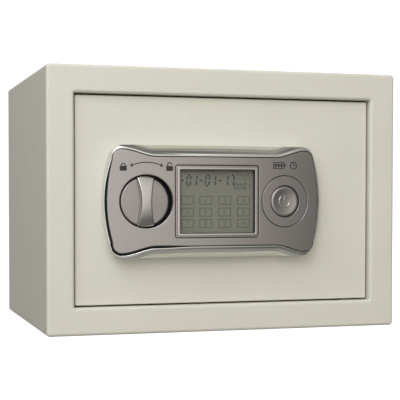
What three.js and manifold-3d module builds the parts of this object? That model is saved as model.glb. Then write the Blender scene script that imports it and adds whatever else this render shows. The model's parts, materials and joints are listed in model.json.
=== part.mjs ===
// In-room safe: steel cabinet, swinging door with an electronic lock panel, knob-driven bolts.
// Millimetres. Origin at the centre of the cabinet's underside, +X to the viewer's right,
// +Y towards the back, +Z up. The door is closed and its bolts are drawn back.
import * as THREE from 'three';
import { mergeVertices } from 'three/addons/utils/BufferGeometryUtils.js';
import ManifoldModule from 'manifold-3d';

const wasm = await ManifoldModule();
wasm.setup();
const { Manifold, Mesh: SolidMesh } = wasm;

// Cabinet
const CABINET_WIDTH = 350;
const CABINET_HEIGHT = 250;
const CABINET_DEPTH = 250;
const SHEET = 2;
const FRONT_Y = -CABINET_DEPTH / 2;
const BACK_Y = CABINET_DEPTH / 2;
const MID_Z = CABINET_HEIGHT / 2;
const FLANGE = 26;
const LIP_DEPTH = 22;
const EDGE_ROUND = 3;
const CORNER_ROUND = 3.5;
const MAT_THICK = 3;
const ANCHOR_RADIUS = 5;
const ANCHOR_X = 90;
const FLOOR_ANCHOR_Y = 20;
const MAT_HALF = 170;
const MAT_FRONT = -100;
const MAT_REAR = 121;

// Door plate
const DOOR_GAP = 1.5;
const DOOR_RECESS = 6;
const DOOR_THICK = 5;
const DOOR_WIDTH = CABINET_WIDTH - 2 * FLANGE - 2 * DOOR_GAP;
const DOOR_HEIGHT = CABINET_HEIGHT - 2 * FLANGE - 2 * DOOR_GAP;
const DOOR_FRONT = FRONT_Y + DOOR_RECESS;
const DOOR_BACK = DOOR_FRONT + DOOR_THICK;
const LEAD_HOLE = { x: 20, radius: 8 };

// Hinge line
const HINGE_X = 118.5;
const HINGE_Y = -110.5;
const PIN_RADIUS = 3;
const BUSH_RADIUS = 4.5;
const BUSH_FLANGE = 7;
const BUSH_HOLE = BUSH_RADIUS + 0.15;
const WASHER_THICK = 1.4;
const BLOCK_HALF = 8.5;
const BLOCK_HEIGHT = 23.5;
const LIP_LOW = FLANGE;
const LIP_HIGH = CABINET_HEIGHT - FLANGE;

// Lock panel, bowed about a vertical axis
const PANEL_X = -15.5;
const PANEL_Z = 124;
const CROWN_RADIUS = 584;
const CROWN_FRONT = -141;
const CROWN_Y = CROWN_FRONT + CROWN_RADIUS;
const BASE = { halfWidth: 107, cornerX: 88.6, cornerZ: 40.5, round: 12, sideRadius: 140 };
const BASE_HALF_HEIGHT = 52.5;
const FACE = { halfWidth: 105.2, cornerX: 91, cornerZ: 39.4, round: 9, sideRadius: 136 };
const WAIST_HALF = 41.6;
const EAR_HALF = 48.4;
const FLARE_START = 59;
const FLARE_RUN = 32;
const FACE_GAP = 1.2;
const SKIN = 2;
const SKIRT_BACK = -123;
const CLEAR_FRONT = -150;
const PANEL_SCREWS = [[-60, 161], [-60, 87], [72, 161], [72, 87]];

// Display
const BEZEL = [81.8, 67];
const SCREEN = [74, 59.5];
const GLASS = [78, 63.5];
const GLASS_FRONT = -136.6;
const LCD_FRONT = -135.4;
const LIGHT_FRONT = -133.2;
const BOARD_FRONT = -126.4;
const BOARD_THICK = 1.6;
const BEZEL_BACK = -134;

// Knob
const KNOB_X = -83.8;
const WELL_RADIUS = 25.3;
const DISC_RADIUS = 23.8;
const DISC_FRONT = -131.2;
const DISC_BACK = -127;
const SPINDLE_RADIUS = 5;
const WELL_WALL = 1.6;
const WELL_FLOOR = -125.5;
const WELL_REAR = -123.5;
const GROOVE_FRONT = -111.6;
const GROOVE_BACK = -110.2;
const CAM_RADIUS = 15;
const CAM_FRONT = -100;
const CAM_BACK = -93;

// Wake button
const BUTTON_X = 53.4;
const RING_RADIUS = 24.3;
const BUTTON_RADIUS = 14.9;
const BUTTON_BACK = -133.2;
const STEM_RADIUS = 1.7;

// Bolt work
const BOLT_Y = -93;
const BOLT_RADIUS = 9;
const BOLT_TIP_X = -146;
const BOLT_HEIGHTS = [75, 175];
const CARRIER_X = -103;
const WEB_FRONT = -90;
const WEB_BACK = -87;
const CRANK_OFFSET = 7.5;
const CRANK_RADIUS = 3;
const SLOT_HALF = 3.45;
const THROW = 15;
const GUIDE_X = -90;
const GUIDE_HEIGHTS = [90, 160];
const WEB_LOW = 63;
const WEB_HIGH = 187;
const CHASSIS = { x0: -135, x1: -28, z0: 60, z1: 190, sheet: 2, wall: 3, back: -80 };
const PLUNGER_RADIUS = 3;
const SOLENOID_X = -45;
const SOLENOID_Y = -88.5;
const ARM_LOW = 118;
const ARM_HIGH = 134;

// Inner cover, battery tray
const COVER = { x0: -138, x1: 105, z0: 45, z1: 205, back: -72.5, sheet: 1.5 };
const POSTS = [[-128, 53], [-128, 197], [97, 53], [97, 197]];
const TRAY = { x0: 24.5, x1: 91.5, z0: 95, z1: 155, front: -93.5 };
const CELL_RADIUS = 7.25;
const CELL_Y = -84.25;
const CELL_LOW = 99.75;
const CELL_HIGH = 150.25;
const CELL_XS = [34.75, 50.25, 65.75, 81.25];

// ---- solids -------------------------------------------------------------------------------

function makeSolid(positions, index) {
  const vertProperties = Float32Array.from(positions);
  return new Manifold(new SolidMesh({ numProp: 3, vertProperties, triVerts: index }));
}

// A solid from a closed surface; one drawn inside out is turned to face outwards.
function toSolid(geometry) {
  const bare = new THREE.BufferGeometry();
  bare.setAttribute('position', geometry.getAttribute('position'));
  if (geometry.index) bare.setIndex(geometry.index);
  const merged = mergeVertices(bare, 1e-4);
  const positions = merged.getAttribute('position').array;
  const index = Uint32Array.from(merged.index.array);
  const solid = makeSolid(positions, index);
  return solid.volume() < 0 ? makeSolid(positions, index.reverse()) : solid;
}

function toGeometry(solid) {
  const mesh = solid.getMesh();
  const geometry = new THREE.BufferGeometry();
  const positions = new THREE.BufferAttribute(Float32Array.from(mesh.vertProperties), 3);
  geometry.setAttribute('position', positions);
  geometry.setIndex(new THREE.BufferAttribute(Uint32Array.from(mesh.triVerts), 1));
  const flat = geometry.toNonIndexed();
  flat.computeVertexNormals();
  return flat;
}

function add(...solids) {
  return solids.reduce((sum, next) => sum.add(next));
}

function cut(solid, ...tools) {
  return tools.reduce((left, tool) => left.subtract(tool), solid);
}

function box(x0, x1, y0, y1, z0, z1) {
  const geometry = new THREE.BoxGeometry(x1 - x0, y1 - y0, z1 - z0);
  geometry.translate((x0 + x1) / 2, (y0 + y1) / 2, (z0 + z1) / 2);
  return toSolid(geometry);
}

function rodX(radius, x0, x1, y, z, segments = 24) {
  const geometry = new THREE.CylinderGeometry(radius, radius, x1 - x0, segments);
  geometry.rotateZ(Math.PI / 2);
  geometry.translate((x0 + x1) / 2, y, z);
  return toSolid(geometry);
}

function rodY(radius, y0, y1, x, z, segments = 24) {
  const geometry = new THREE.CylinderGeometry(radius, radius, y1 - y0, segments);
  geometry.translate(x, (y0 + y1) / 2, z);
  return toSolid(geometry);
}

function rodZ(radius, z0, z1, x, y, segments = 24) {
  const geometry = new THREE.CylinderGeometry(radius, radius, z1 - z0, segments);
  geometry.rotateX(Math.PI / 2);
  geometry.translate(x, y, (z0 + z1) / 2);
  return toSolid(geometry);
}

// Points of a rounded rectangle in the X-Z plane, centred at (cx, cz).
function roundedRect(width, height, radius, cx, cz, steps = 4) {
  const points = [];
  const corners = [[1, 1], [-1, 1], [-1, -1], [1, -1]];
  corners.forEach(([sx, sz], index) => {
    for (let step = 0; step <= steps; step += 1) {
      const angle = ((index + step / steps) * Math.PI) / 2;
      const x = sx * (width / 2 - radius) + radius * Math.cos(angle);
      const z = sz * (height / 2 - radius) + radius * Math.sin(angle);
      points.push(new THREE.Vector2(cx + x, cz + z));
    }
  });
  return points;
}

// A plate with an X-Z outline, running from y0 to y1.
function plate(points, y0, y1) {
  const shape = new THREE.Shape(points);
  const geometry = new THREE.ExtrudeGeometry(shape, { depth: y1 - y0, bevelEnabled: false });
  geometry.rotateX(Math.PI / 2);
  geometry.translate(0, y1, 0);
  return toSolid(geometry);
}

// A solid through matching closed rings of points, closed by a fan at each end.
function loft(rings) {
  const count = rings[0].length;
  const positions = [];
  const index = [];
  rings.forEach((ring) => ring.forEach((point) => positions.push(point.x, point.y, point.z)));
  for (let row = 0; row + 1 < rings.length; row += 1) {
    for (let column = 0; column < count; column += 1) {
      const next = (column + 1) % count;
      const a = row * count + column;
      const b = row * count + next;
      index.push(a, b, a + count, b, b + count, a + count);
    }
  }
  const last = (rings.length - 1) * count;
  for (let column = 1; column + 1 < count; column += 1) {
    index.push(0, column + 1, column);
    index.push(last, last + column, last + column + 1);
  }
  const geometry = new THREE.BufferGeometry();
  geometry.setAttribute('position', new THREE.Float32BufferAttribute(positions, 3));
  geometry.setIndex(index);
  return toSolid(geometry);
}

// Rounded rectangles stacked along Y; sections are [y, width, height, corner radius].
function rectLoft(sections, cx, cz, steps = 4) {
  const rings = sections.map(([y, width, height, radius]) => {
    const ring = roundedRect(width, height, radius, cx, cz, steps);
    return ring.map((point) => new THREE.Vector3(point.x, y, point.y)).reverse();
  });
  return loft(rings);
}

// Sections of a block from y0 to y1 whose front edge is rounded.
function roundedFront(width, height, corner, round, y0, y1, steps = 4) {
  const sections = [];
  for (let step = 0; step <= steps; step += 1) {
    const angle = ((step / steps) * Math.PI) / 2;
    const inset = round * (1 - Math.sin(angle));
    const y = y0 + round * (1 - Math.cos(angle));
    sections.push([y, width - 2 * inset, height - 2 * inset, Math.max(corner - inset, 0.3)]);
  }
  sections.push([y1, width, height, corner]);
  return sections;
}

// A turned solid about the Y axis through (x, z); profile is [radius, y] from axis to axis.
function turnedY(profile, x, z, segments = 20) {
  const points = profile.map(([radius, y]) => new THREE.Vector2(radius, y));
  const geometry = new THREE.LatheGeometry(points, segments);
  geometry.translate(x, 0, z);
  return toSolid(geometry);
}

// A turned solid about the Z axis through (x, y); profile is [radius, z] from axis to axis.
function turnedZ(profile, x, y, segments = 24) {
  const points = profile.map(([radius, z]) => new THREE.Vector2(radius, z));
  const geometry = new THREE.LatheGeometry(points, segments);
  geometry.rotateX(Math.PI / 2);
  geometry.translate(x, y, 0);
  return toSolid(geometry);
}

// A turned solid about the X axis through (y, z); profile is [radius, x] from axis to axis.
function turnedX(profile, y, z, segments = 24) {
  const points = profile.map(([radius, x]) => new THREE.Vector2(radius, x));
  const geometry = new THREE.LatheGeometry(points, segments);
  geometry.rotateZ(-Math.PI / 2);
  geometry.translate(0, y, z);
  return toSolid(geometry);
}

// ---- bowed panel --------------------------------------------------------------------------

// A half profile [radius, height above panel centre] swept about the panel's vertical axis.
function crownBlock(radius, profile) {
  const upper = profile.map(([drop, height]) => [radius - drop, height]);
  const lower = upper.map(([r, height]) => [r, -height]).reverse();
  const inner = [[CROWN_RADIUS - 40, upper[upper.length - 1][1]]];
  inner.push([CROWN_RADIUS - 40, -upper[upper.length - 1][1]]);
  const section = [...lower, ...upper, ...inner];
  const rings = [];
  const steps = 18;
  for (let step = 0; step <= steps; step += 1) {
    const angle = THREE.MathUtils.degToRad(-12 + (24 * step) / steps);
    rings.push(section.map(([r, height]) => new THREE.Vector3(
      PANEL_X + r * Math.sin(angle),
      CROWN_Y - r * Math.cos(angle),
      PANEL_Z + height,
    )));
  }
  return loft(rings);
}

// Everything behind the bowed surface that lies `drop` below the panel face.
function behindCrown(drop) {
  return crownBlock(CROWN_RADIUS - drop, [[0, 70]]);
}

function crownY(x, drop = 0) {
  const offset = x - PANEL_X;
  const radius = CROWN_RADIUS - drop;
  return CROWN_Y - Math.sqrt(radius * radius - offset * offset);
}

// Mirrors a quarter outline, given from top middle to side middle, into a closed outline.
function mirrorQuarter(quarter) {
  const left = quarter.map(([x, z]) => [-x, z]).reverse();
  const upper = [...left, ...quarter.slice(1)];
  const lower = upper.slice(1, -1).map(([x, z]) => [x, -z]).reverse();
  const points = [...upper, ...lower].reverse();
  return points.map(([x, z]) => new THREE.Vector2(PANEL_X + x, PANEL_Z + z));
}

// Corner arc, then the bowed side down to mid height.
function cornerAndSide({ halfWidth, cornerX, cornerZ, round, sideRadius }, offset) {
  const points = [];
  const radius = round + offset;
  const low = Math.asin(cornerZ / sideRadius) * 1.05;
  for (let step = 0; step <= 8; step += 1) {
    const angle = Math.PI / 2 - (step / 8) * (Math.PI / 2 - low);
    points.push([cornerX + radius * Math.cos(angle), cornerZ + radius * Math.sin(angle)]);
  }
  const endZ = points[points.length - 1][1];
  for (let step = 1; step <= 6; step += 1) {
    const z = endZ * (1 - step / 6);
    points.push([halfWidth + offset - (z * z) / (2 * sideRadius), z]);
  }
  return points;
}

function baseOutline(offset) {
  return mirrorQuarter([[0, BASE_HALF_HEIGHT + offset], ...cornerAndSide(BASE, offset)]);
}

// Waisted face: level over the middle, flaring to taller ears near both ends.
function faceOutline(offset) {
  const quarter = [[0, WAIST_HALF + offset]];
  for (let step = 0; step <= 10; step += 1) {
    const t = step / 10;
    const rise = t * t * (3 - 2 * t);
    const height = WAIST_HALF + (EAR_HALF - WAIST_HALF) * rise;
    quarter.push([FLARE_START + FLARE_RUN * t, height + offset]);
  }
  return mirrorQuarter([...quarter, ...cornerAndSide(FACE, offset)]);
}

// ---- cabinet ------------------------------------------------------------------------------

function cabinetShell() {
  const outerSections = roundedFront(
    CABINET_WIDTH, CABINET_HEIGHT, CORNER_ROUND, EDGE_ROUND, FRONT_Y, BACK_Y,
  );
  const outer = rectLoft(outerSections, 0, MID_Z);
  const half = CABINET_WIDTH / 2 - SHEET;
  const cavity = box(-half, half, FRONT_Y + SHEET, BACK_Y + 1, SHEET, CABINET_HEIGHT - SHEET);
  const mouthWidth = CABINET_WIDTH - 2 * FLANGE;
  const mouthHeight = CABINET_HEIGHT - 2 * FLANGE;
  const lipBack = FRONT_Y + LIP_DEPTH;
  const lipWidth = mouthWidth + 2 * SHEET;
  const lipHeight = mouthHeight + 2 * SHEET;
  const lip = plate(roundedRect(lipWidth, lipHeight, 3, 0, MID_Z), FRONT_Y + 1, lipBack);
  const flare = [[FRONT_Y - 1, mouthWidth + 6, mouthHeight + 6, 4]];
  for (let step = 0; step <= 4; step += 1) {
    const angle = ((step / 4) * Math.PI) / 2;
    const growth = 2 * EDGE_ROUND * (1 - Math.sin(angle));
    const y = FRONT_Y + EDGE_ROUND * (1 - Math.cos(angle));
    flare.push([y, mouthWidth + growth, mouthHeight + growth, 1 + growth / 2]);
  }
  flare.push([lipBack + 1, mouthWidth, mouthHeight, 1]);
  let shell = cut(outer, cavity);
  shell = cut(add(shell, lip), rectLoft(flare, 0, MID_Z));
  for (const x of [-ANCHOR_X, ANCHOR_X]) {
    shell = cut(shell, rodZ(ANCHOR_RADIUS, -1, SHEET + 1, x, FLOOR_ANCHOR_Y));
  }
  const bushHoles = [[LIP_LOW - 3, LIP_LOW + 1], [LIP_HIGH - 1, LIP_HIGH + 3]];
  for (const [z0, z1] of bushHoles) {
    shell = cut(shell, rodZ(BUSH_HOLE, z0, z1, HINGE_X, HINGE_Y));
  }
  return shell;
}

function backPanel() {
  const width = CABINET_WIDTH - 2 * SHEET;
  const height = CABINET_HEIGHT - 2 * SHEET;
  let panel = box(-width / 2, width / 2, BACK_Y - SHEET, BACK_Y, SHEET, SHEET + height);
  for (const x of [-ANCHOR_X, ANCHOR_X]) {
    panel = cut(panel, rodY(ANCHOR_RADIUS, BACK_Y - 3, BACK_Y + 1, x, MID_Z));
  }
  return panel;
}

function floorMat() {
  const outline = new THREE.Shape();
  outline.moveTo(-MAT_HALF, MAT_FRONT);
  outline.lineTo(MAT_HALF, MAT_FRONT);
  outline.lineTo(MAT_HALF, MAT_REAR);
  outline.lineTo(-MAT_HALF, MAT_REAR);
  const geometry = new THREE.ExtrudeGeometry(outline, { depth: MAT_THICK, bevelEnabled: false });
  geometry.translate(0, 0, SHEET);
  return toSolid(geometry);
}

// Flanged bush in the lip; `up` is +1 in the upper lip and -1 in the lower lip.
function hingeBush(face, up) {
  const bore = PIN_RADIUS + 0.08;
  const step = SHEET * up;
  const profile = [
    [bore, 0], [BUSH_RADIUS, 0], [BUSH_RADIUS, step], [BUSH_FLANGE, step], [BUSH_FLANGE, 2 * step],
    [bore, 2 * step], [bore, 0],
  ];
  return turnedZ(profile.map(([r, z]) => [r, face + z]), HINGE_X, HINGE_Y);
}

function hingeWasher() {
  const ring = rodZ(2 * PIN_RADIUS, LIP_LOW, LIP_LOW + WASHER_THICK, HINGE_X, HINGE_Y);
  return cut(ring, rodZ(PIN_RADIUS + 0.3, LIP_LOW - 1, LIP_LOW + 2, HINGE_X, HINGE_Y));
}

// ---- door ---------------------------------------------------------------------------------

function doorPanel() {
  const sections = roundedFront(DOOR_WIDTH, DOOR_HEIGHT, 1.5, 0.8, DOOR_FRONT, DOOR_BACK, 2);
  let door = rectLoft(sections, 0, MID_Z);
  const through = [DOOR_FRONT - 1, DOOR_BACK + 1];
  door = cut(door, rodY(6.5, ...through, KNOB_X, PANEL_Z));
  door = cut(door, rodY(LEAD_HOLE.radius, ...through, LEAD_HOLE.x, PANEL_Z));
  for (const [x, z] of PANEL_SCREWS) {
    door = cut(door, rodY(2.3, ...through, x, z, 16));
  }
  return door;
}

function hingeBlock(z0, z1) {
  const [x0, x1] = [HINGE_X - BLOCK_HALF, HINGE_X + BLOCK_HALF];
  const block = box(x0, x1, DOOR_BACK, HINGE_Y + 6, z0, z1);
  return cut(block, rodZ(PIN_RADIUS + 0.15, z0 - 1, z1 + 1, HINGE_X, HINGE_Y));
}

function hingePin(z0, z1) {
  const tip = PIN_RADIUS - 0.6;
  const profile = [[0, z0], [tip, z0], [PIN_RADIUS, z0 + 0.6], [PIN_RADIUS, z1 - 0.6], [tip, z1]];
  profile.push([0, z1]);
  return turnedZ(profile, HINGE_X, HINGE_Y);
}

// ---- lock panel ---------------------------------------------------------------------------

function panelBase() {
  const roof = [[0.9, 43.6], [1.1, 44.8], [2.6, 47.4], [5, 49.8], [8.5, 51.8], [13, 53.2]];
  const outline = plate(baseOutline(0), CLEAR_FRONT, DOOR_FRONT);
  const block = crownBlock(CROWN_RADIUS, roof).intersect(outline);
  const pocket = plate(faceOutline(FACE_GAP), CLEAR_FRONT, SKIRT_BACK);
  const window = plate(faceOutline(-3.5), CLEAR_FRONT, DOOR_FRONT + 1);
  const holes = PANEL_SCREWS.map(([x, z]) => rodY(2.4, -125, DOOR_FRONT + 1, x, z, 16));
  return cut(block, pocket, window, ...holes);
}

function facePlate() {
  const outer = plate(faceOutline(0), CLEAR_FRONT, SKIRT_BACK).intersect(behindCrown(0));
  const hollow = plate(faceOutline(-SKIN), CLEAR_FRONT, SKIRT_BACK + 1).intersect(behindCrown(SKIN));
  let face = cut(outer, hollow);
  for (const [x, z] of PANEL_SCREWS) {
    const boss = rodY(4, crownY(x) + 1, SKIRT_BACK, x, z, 20);
    face = cut(add(face, boss), rodY(2.1, -131, SKIRT_BACK + 1, x, z, 16));
  }
  const opening = roundedRect(BEZEL[0] + 0.8, BEZEL[1] + 0.8, 2.4, PANEL_X, PANEL_Z);
  face = cut(face, plate(opening, CLEAR_FRONT, -130));
  face = cut(face, rodY(WELL_RADIUS, CLEAR_FRONT, -130, KNOB_X, PANEL_Z, 48));
  return cut(face, rodY(RING_RADIUS + 0.3, CLEAR_FRONT, -130, BUTTON_X, PANEL_Z, 48));
}

function displayBezel() {
  const [width, height] = BEZEL;
  const step = plate(roundedRect(width, height, 2, PANEL_X, PANEL_Z), CLEAR_FRONT, BEZEL_BACK);
  const inner = roundedRect(width - 2.8, height - 2.8, 1.5, PANEL_X, PANEL_Z);
  const rim = plate(inner, CLEAR_FRONT, BEZEL_BACK);
  const frame = add(step.intersect(behindCrown(0.5)), rim.intersect(behindCrown(-0.8)));
  const opening = plate(roundedRect(...SCREEN, 0.8, PANEL_X, PANEL_Z), CLEAR_FRONT, BEZEL_BACK + 1);
  const rebate = [GLASS[0] + 0.4, GLASS[1] + 0.4, 0.6, PANEL_X, PANEL_Z];
  return cut(frame, opening, plate(roundedRect(...rebate), GLASS_FRONT, BEZEL_BACK + 1));
}

function displaySlab(y0, y1) {
  const [width, height] = GLASS;
  return box(
    PANEL_X - width / 2, PANEL_X + width / 2, y0, y1, PANEL_Z - height / 2, PANEL_Z + height / 2,
  );
}

function mainBoard() {
  const board = box(-52, 80, BOARD_FRONT, BOARD_FRONT + BOARD_THICK, PANEL_Z - 32, PANEL_Z + 32);
  return cut(board, rodY(5, -130, -120, LEAD_HOLE.x, PANEL_Z, 16));
}

function knobWell() {
  const tube = rodY(WELL_RADIUS + WELL_WALL, CLEAR_FRONT, DOOR_FRONT, KNOB_X, PANEL_Z, 48);
  const bore = rodY(WELL_RADIUS, CLEAR_FRONT, WELL_FLOOR, KNOB_X, PANEL_Z, 48);
  const rear = rodY(WELL_RADIUS, WELL_REAR, DOOR_FRONT + 1, KNOB_X, PANEL_Z, 48);
  const hole = rodY(8, -130, -120, KNOB_X, PANEL_Z);
  return cut(tube.intersect(behindCrown(2.3)), bore, rear, hole);
}

function buttonRing() {
  const rim = rodY(RING_RADIUS, CLEAR_FRONT, -125, BUTTON_X, PANEL_Z, 48).intersect(behindCrown(0));
  const flange = rodY(RING_RADIUS + 2.2, CLEAR_FRONT, -125, BUTTON_X, PANEL_Z, 48);
  const body = add(rim, flange.intersect(behindCrown(2.3)));
  const bore = rodY(BUTTON_RADIUS + 0.4, CLEAR_FRONT, -120, BUTTON_X, PANEL_Z, 48);
  return cut(body, behindCrown(4.3), bore);
}

function wakeSwitch() {
  const housing = box(BUTTON_X - 6, BUTTON_X + 6, -130.4, BOARD_FRONT, PANEL_Z - 6, PANEL_Z + 6);
  return cut(housing, rodY(STEM_RADIUS + 0.3, -131, -127.4, BUTTON_X, PANEL_Z, 20));
}

// Round push button with a dished front that follows the bow of the panel.
function wakeButton() {
  const barrel = rodY(BUTTON_RADIUS, CLEAR_FRONT, BUTTON_BACK, BUTTON_X, PANEL_Z, 48);
  const stem = rodY(STEM_RADIUS, BUTTON_BACK - 1, -128.7, BUTTON_X, PANEL_Z, 20);
  const profile = [[0, 1.4], [5, 1.2], [9, 0.75], [12.4, 0], [12.4, -5], [0, -5]];
  const points = profile.map(([radius, y]) => new THREE.Vector2(radius, y)).reverse();
  const dish = new THREE.LatheGeometry(points, 48);
  dish.rotateZ(Math.asin((BUTTON_X - PANEL_X) / CROWN_RADIUS));
  dish.translate(BUTTON_X, crownY(BUTTON_X), PANEL_Z);
  return add(cut(barrel.intersect(behindCrown(0.2)), toSolid(dish)), stem);
}

// ---- knob ---------------------------------------------------------------------------------

// Waisted grip bar: narrow and proud in the middle, wide and low at both ends.
function gripBar() {
  const rings = [];
  const reach = DISC_RADIUS + 0.5;
  for (let step = 0; step <= 16; step += 1) {
    const z = -reach + (2 * reach * step) / 16;
    const t = z / reach;
    const half = 5.2 + 4.3 * t * t;
    const front = -138.6 + 5.4 * t * t;
    const section = [
      [half, DISC_FRONT + 1], [half, front + 1.6], [half - 0.5, front + 0.5],
      [half - 1.6, front], [-half + 1.6, front], [-half + 0.5, front + 0.5],
      [-half, front + 1.6], [-half, DISC_FRONT + 1],
    ];
    rings.push(section.map(([x, y]) => new THREE.Vector3(KNOB_X + x, y, PANEL_Z + z)));
  }
  return loft(rings);
}

function knob() {
  const disc = rodY(DISC_RADIUS, DISC_FRONT, DISC_BACK, KNOB_X, PANEL_Z, 48);
  const limit = rodY(DISC_RADIUS - 0.2, CLEAR_FRONT, DISC_BACK, KNOB_X, PANEL_Z, 48);
  return add(disc, gripBar().intersect(limit));
}

function knobSpindle() {
  const groove = SPINDLE_RADIUS - 0.8;
  const end = SPINDLE_RADIUS - 1;
  const profile = [
    [0, DISC_BACK], [SPINDLE_RADIUS, DISC_BACK], [SPINDLE_RADIUS, GROOVE_FRONT],
    [groove, GROOVE_FRONT], [groove, GROOVE_BACK], [SPINDLE_RADIUS, GROOVE_BACK],
    [SPINDLE_RADIUS, CAM_FRONT], [end, CAM_FRONT], [end, CAM_BACK], [0, CAM_BACK],
  ];
  return turnedY(profile, KNOB_X, PANEL_Z);
}

function spindleClip() {
  const [y0, y1] = [GROOVE_FRONT + 0.2, GROOVE_BACK - 0.2];
  const profile = [[4.4, y0], [8, y0], [8, y1], [4.4, y1], [4.4, y0]];
  return turnedY(profile, KNOB_X, PANEL_Z);
}

function driveCam() {
  const disc = rodY(CAM_RADIUS, CAM_FRONT, CAM_BACK, KNOB_X, PANEL_Z, 40);
  const crankX = KNOB_X + CRANK_OFFSET;
  const pin = rodY(CRANK_RADIUS, CAM_BACK - 1, WEB_BACK + 1.4, crankX, PANEL_Z + CRANK_OFFSET);
  return cut(add(disc, pin), rodY(4.2, CAM_FRONT - 1, CAM_BACK + 1, KNOB_X, PANEL_Z));
}

// ---- bolt work ----------------------------------------------------------------------------

function slidingBolt(z) {
  const profile = [
    [0, BOLT_TIP_X], [BOLT_RADIUS - 1.2, BOLT_TIP_X], [BOLT_RADIUS, BOLT_TIP_X + 1.2],
    [BOLT_RADIUS, CARRIER_X], [4, CARRIER_X], [4, CARRIER_X + 3], [6, CARRIER_X + 3],
    [6, CARRIER_X + 5], [0, CARRIER_X + 5],
  ];
  return turnedX(profile, BOLT_Y, z);
}

function boltCarrier() {
  const flange = box(CARRIER_X, CARRIER_X + 3, -102.5, WEB_BACK, WEB_LOW, WEB_HIGH);
  const web = box(CARRIER_X + 2, -62, WEB_FRONT, WEB_BACK, WEB_LOW, WEB_HIGH);
  const arm = box(-63, -18, WEB_FRONT, WEB_BACK, ARM_LOW, ARM_HIGH);
  const through = [WEB_FRONT - 1, WEB_BACK + 1];
  let carrier = add(flange, web, arm);
  for (const z of BOLT_HEIGHTS) {
    carrier = cut(carrier, rodX(4.2, CARRIER_X - 1, CARRIER_X + 4, BOLT_Y, z));
    carrier = cut(carrier, box(CARRIER_X + 3, CARRIER_X + 9, ...through, z - 8, z + 8));
  }
  const crankX = KNOB_X + CRANK_OFFSET;
  const slot = [crankX - SLOT_HALF, crankX + SLOT_HALF, ...through, PANEL_Z + 3.8, PANEL_Z + 14.4];
  carrier = cut(carrier, box(...slot));
  for (const z of GUIDE_HEIGHTS) {
    const x1 = GUIDE_X + THROW + 3.6;
    carrier = cut(carrier, box(GUIDE_X - 3.6, x1, ...through, z - SLOT_HALF, z + SLOT_HALF));
  }
  for (const x of [SOLENOID_X, SOLENOID_X + THROW]) {
    carrier = cut(carrier, box(x - 3.6, x + 3.6, ...through, ARM_LOW - 1, ARM_LOW + 6.5));
  }
  return carrier;
}

function lockChassis() {
  const { x0, x1, z0, z1, sheet, wall, back } = CHASSIS;
  const base = box(x0, x1, DOOR_BACK, DOOR_BACK + sheet, z0, z1);
  const side = box(x0, x0 + wall, DOOR_BACK, back, z0, z1);
  const through = [DOOR_BACK - 1, DOOR_BACK + sheet + 1];
  let chassis = cut(add(base, side), rodY(6.5, ...through, KNOB_X, PANEL_Z));
  for (const z of BOLT_HEIGHTS) {
    chassis = cut(chassis, rodX(11.15, x0 - 1, x0 + wall + 1, BOLT_Y, z));
  }
  for (const [x, z] of PANEL_SCREWS.slice(0, 2)) {
    chassis = cut(chassis, rodY(5, ...through, x, z, 20));
  }
  return chassis;
}

function boltGuide(z) {
  const x0 = CHASSIS.x0 - 1;
  const bush = add(rodX(11, x0, x0 + 5, BOLT_Y, z), rodX(12.6, x0 + 4, x0 + 6, BOLT_Y, z));
  return cut(bush, rodX(BOLT_RADIUS + 0.12, x0 - 1, x0 + 7, BOLT_Y, z));
}

function guidePin(z) {
  const foot = DOOR_BACK + CHASSIS.sheet;
  const [neck0, neck1] = [WEB_FRONT - 0.4, WEB_BACK + 0.4];
  const profile = [
    [0, foot], [5, foot], [5, neck0], [3, neck0], [3, neck1], [5, neck1], [5, neck1 + 2],
    [0, neck1 + 2],
  ];
  return turnedY(profile, GUIDE_X, z);
}

function solenoidFrame() {
  const x0 = SOLENOID_X - 12;
  const x1 = SOLENOID_X + 12;
  const back = box(x0, x1, -112, -110, 70, 108);
  const low = box(x0, x1, -111, -78, 70, 72);
  const high = box(x0, x1, -111, -78, 106, 108);
  return cut(add(back, low, high), rodZ(PLUNGER_RADIUS + 0.4, 105, 109, SOLENOID_X, SOLENOID_Y));
}

function solenoidCoil() {
  const coil = rodZ(10, 72, 106, SOLENOID_X, SOLENOID_Y);
  return cut(coil, rodZ(PLUNGER_RADIUS + 0.4, 71, 107, SOLENOID_X, SOLENOID_Y));
}

function solenoidPlunger() {
  const r = PLUNGER_RADIUS;
  const profile = [
    [0, 78], [r, 78], [r, 109], [5, 109], [5, 110.5], [r, 110.5], [r, 116.5], [r - 0.5, 117],
    [0, 117],
  ];
  return turnedZ(profile, SOLENOID_X, SOLENOID_Y);
}

// ---- inner cover and batteries ------------------------------------------------------------

function innerCover() {
  const { x0, x1, z0, z1, back, sheet } = COVER;
  const cx = (x0 + x1) / 2;
  const cz = (z0 + z1) / 2;
  const width = x1 - x0;
  const height = z1 - z0;
  const sections = [[DOOR_BACK, width, height, 4], [back - 3, width, height, 4]];
  sections.push([back - 0.9, width - 1.8, height - 1.8, 3.1]);
  sections.push([back, width - 6, height - 6, 1]);
  const outer = rectLoft(sections, cx, cz);
  const inner = [width - 2 * sheet, height - 2 * sheet, 2.5, cx, cz];
  let cover = cut(outer, plate(roundedRect(...inner), DOOR_BACK - 1, back - sheet));
  for (const z of BOLT_HEIGHTS) {
    cover = cut(cover, rodX(9.8, x0 - 1, x0 + 3, BOLT_Y, z));
  }
  for (const [x, z] of POSTS) {
    cover = cut(cover, rodY(1.9, back - 3, back + 1, x, z, 16));
  }
  const opening = [TRAY.x0 - 0.3, TRAY.x1 + 0.3, back - 4, back + 1, TRAY.z0 - 0.3, TRAY.z1 + 0.3];
  return cut(cover, box(...opening));
}

function coverPost(x, z) {
  const post = rodY(4, DOOR_BACK, COVER.back - COVER.sheet, x, z, 20);
  return cut(post, rodY(1.8, -90, -73, x, z, 16));
}

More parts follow.
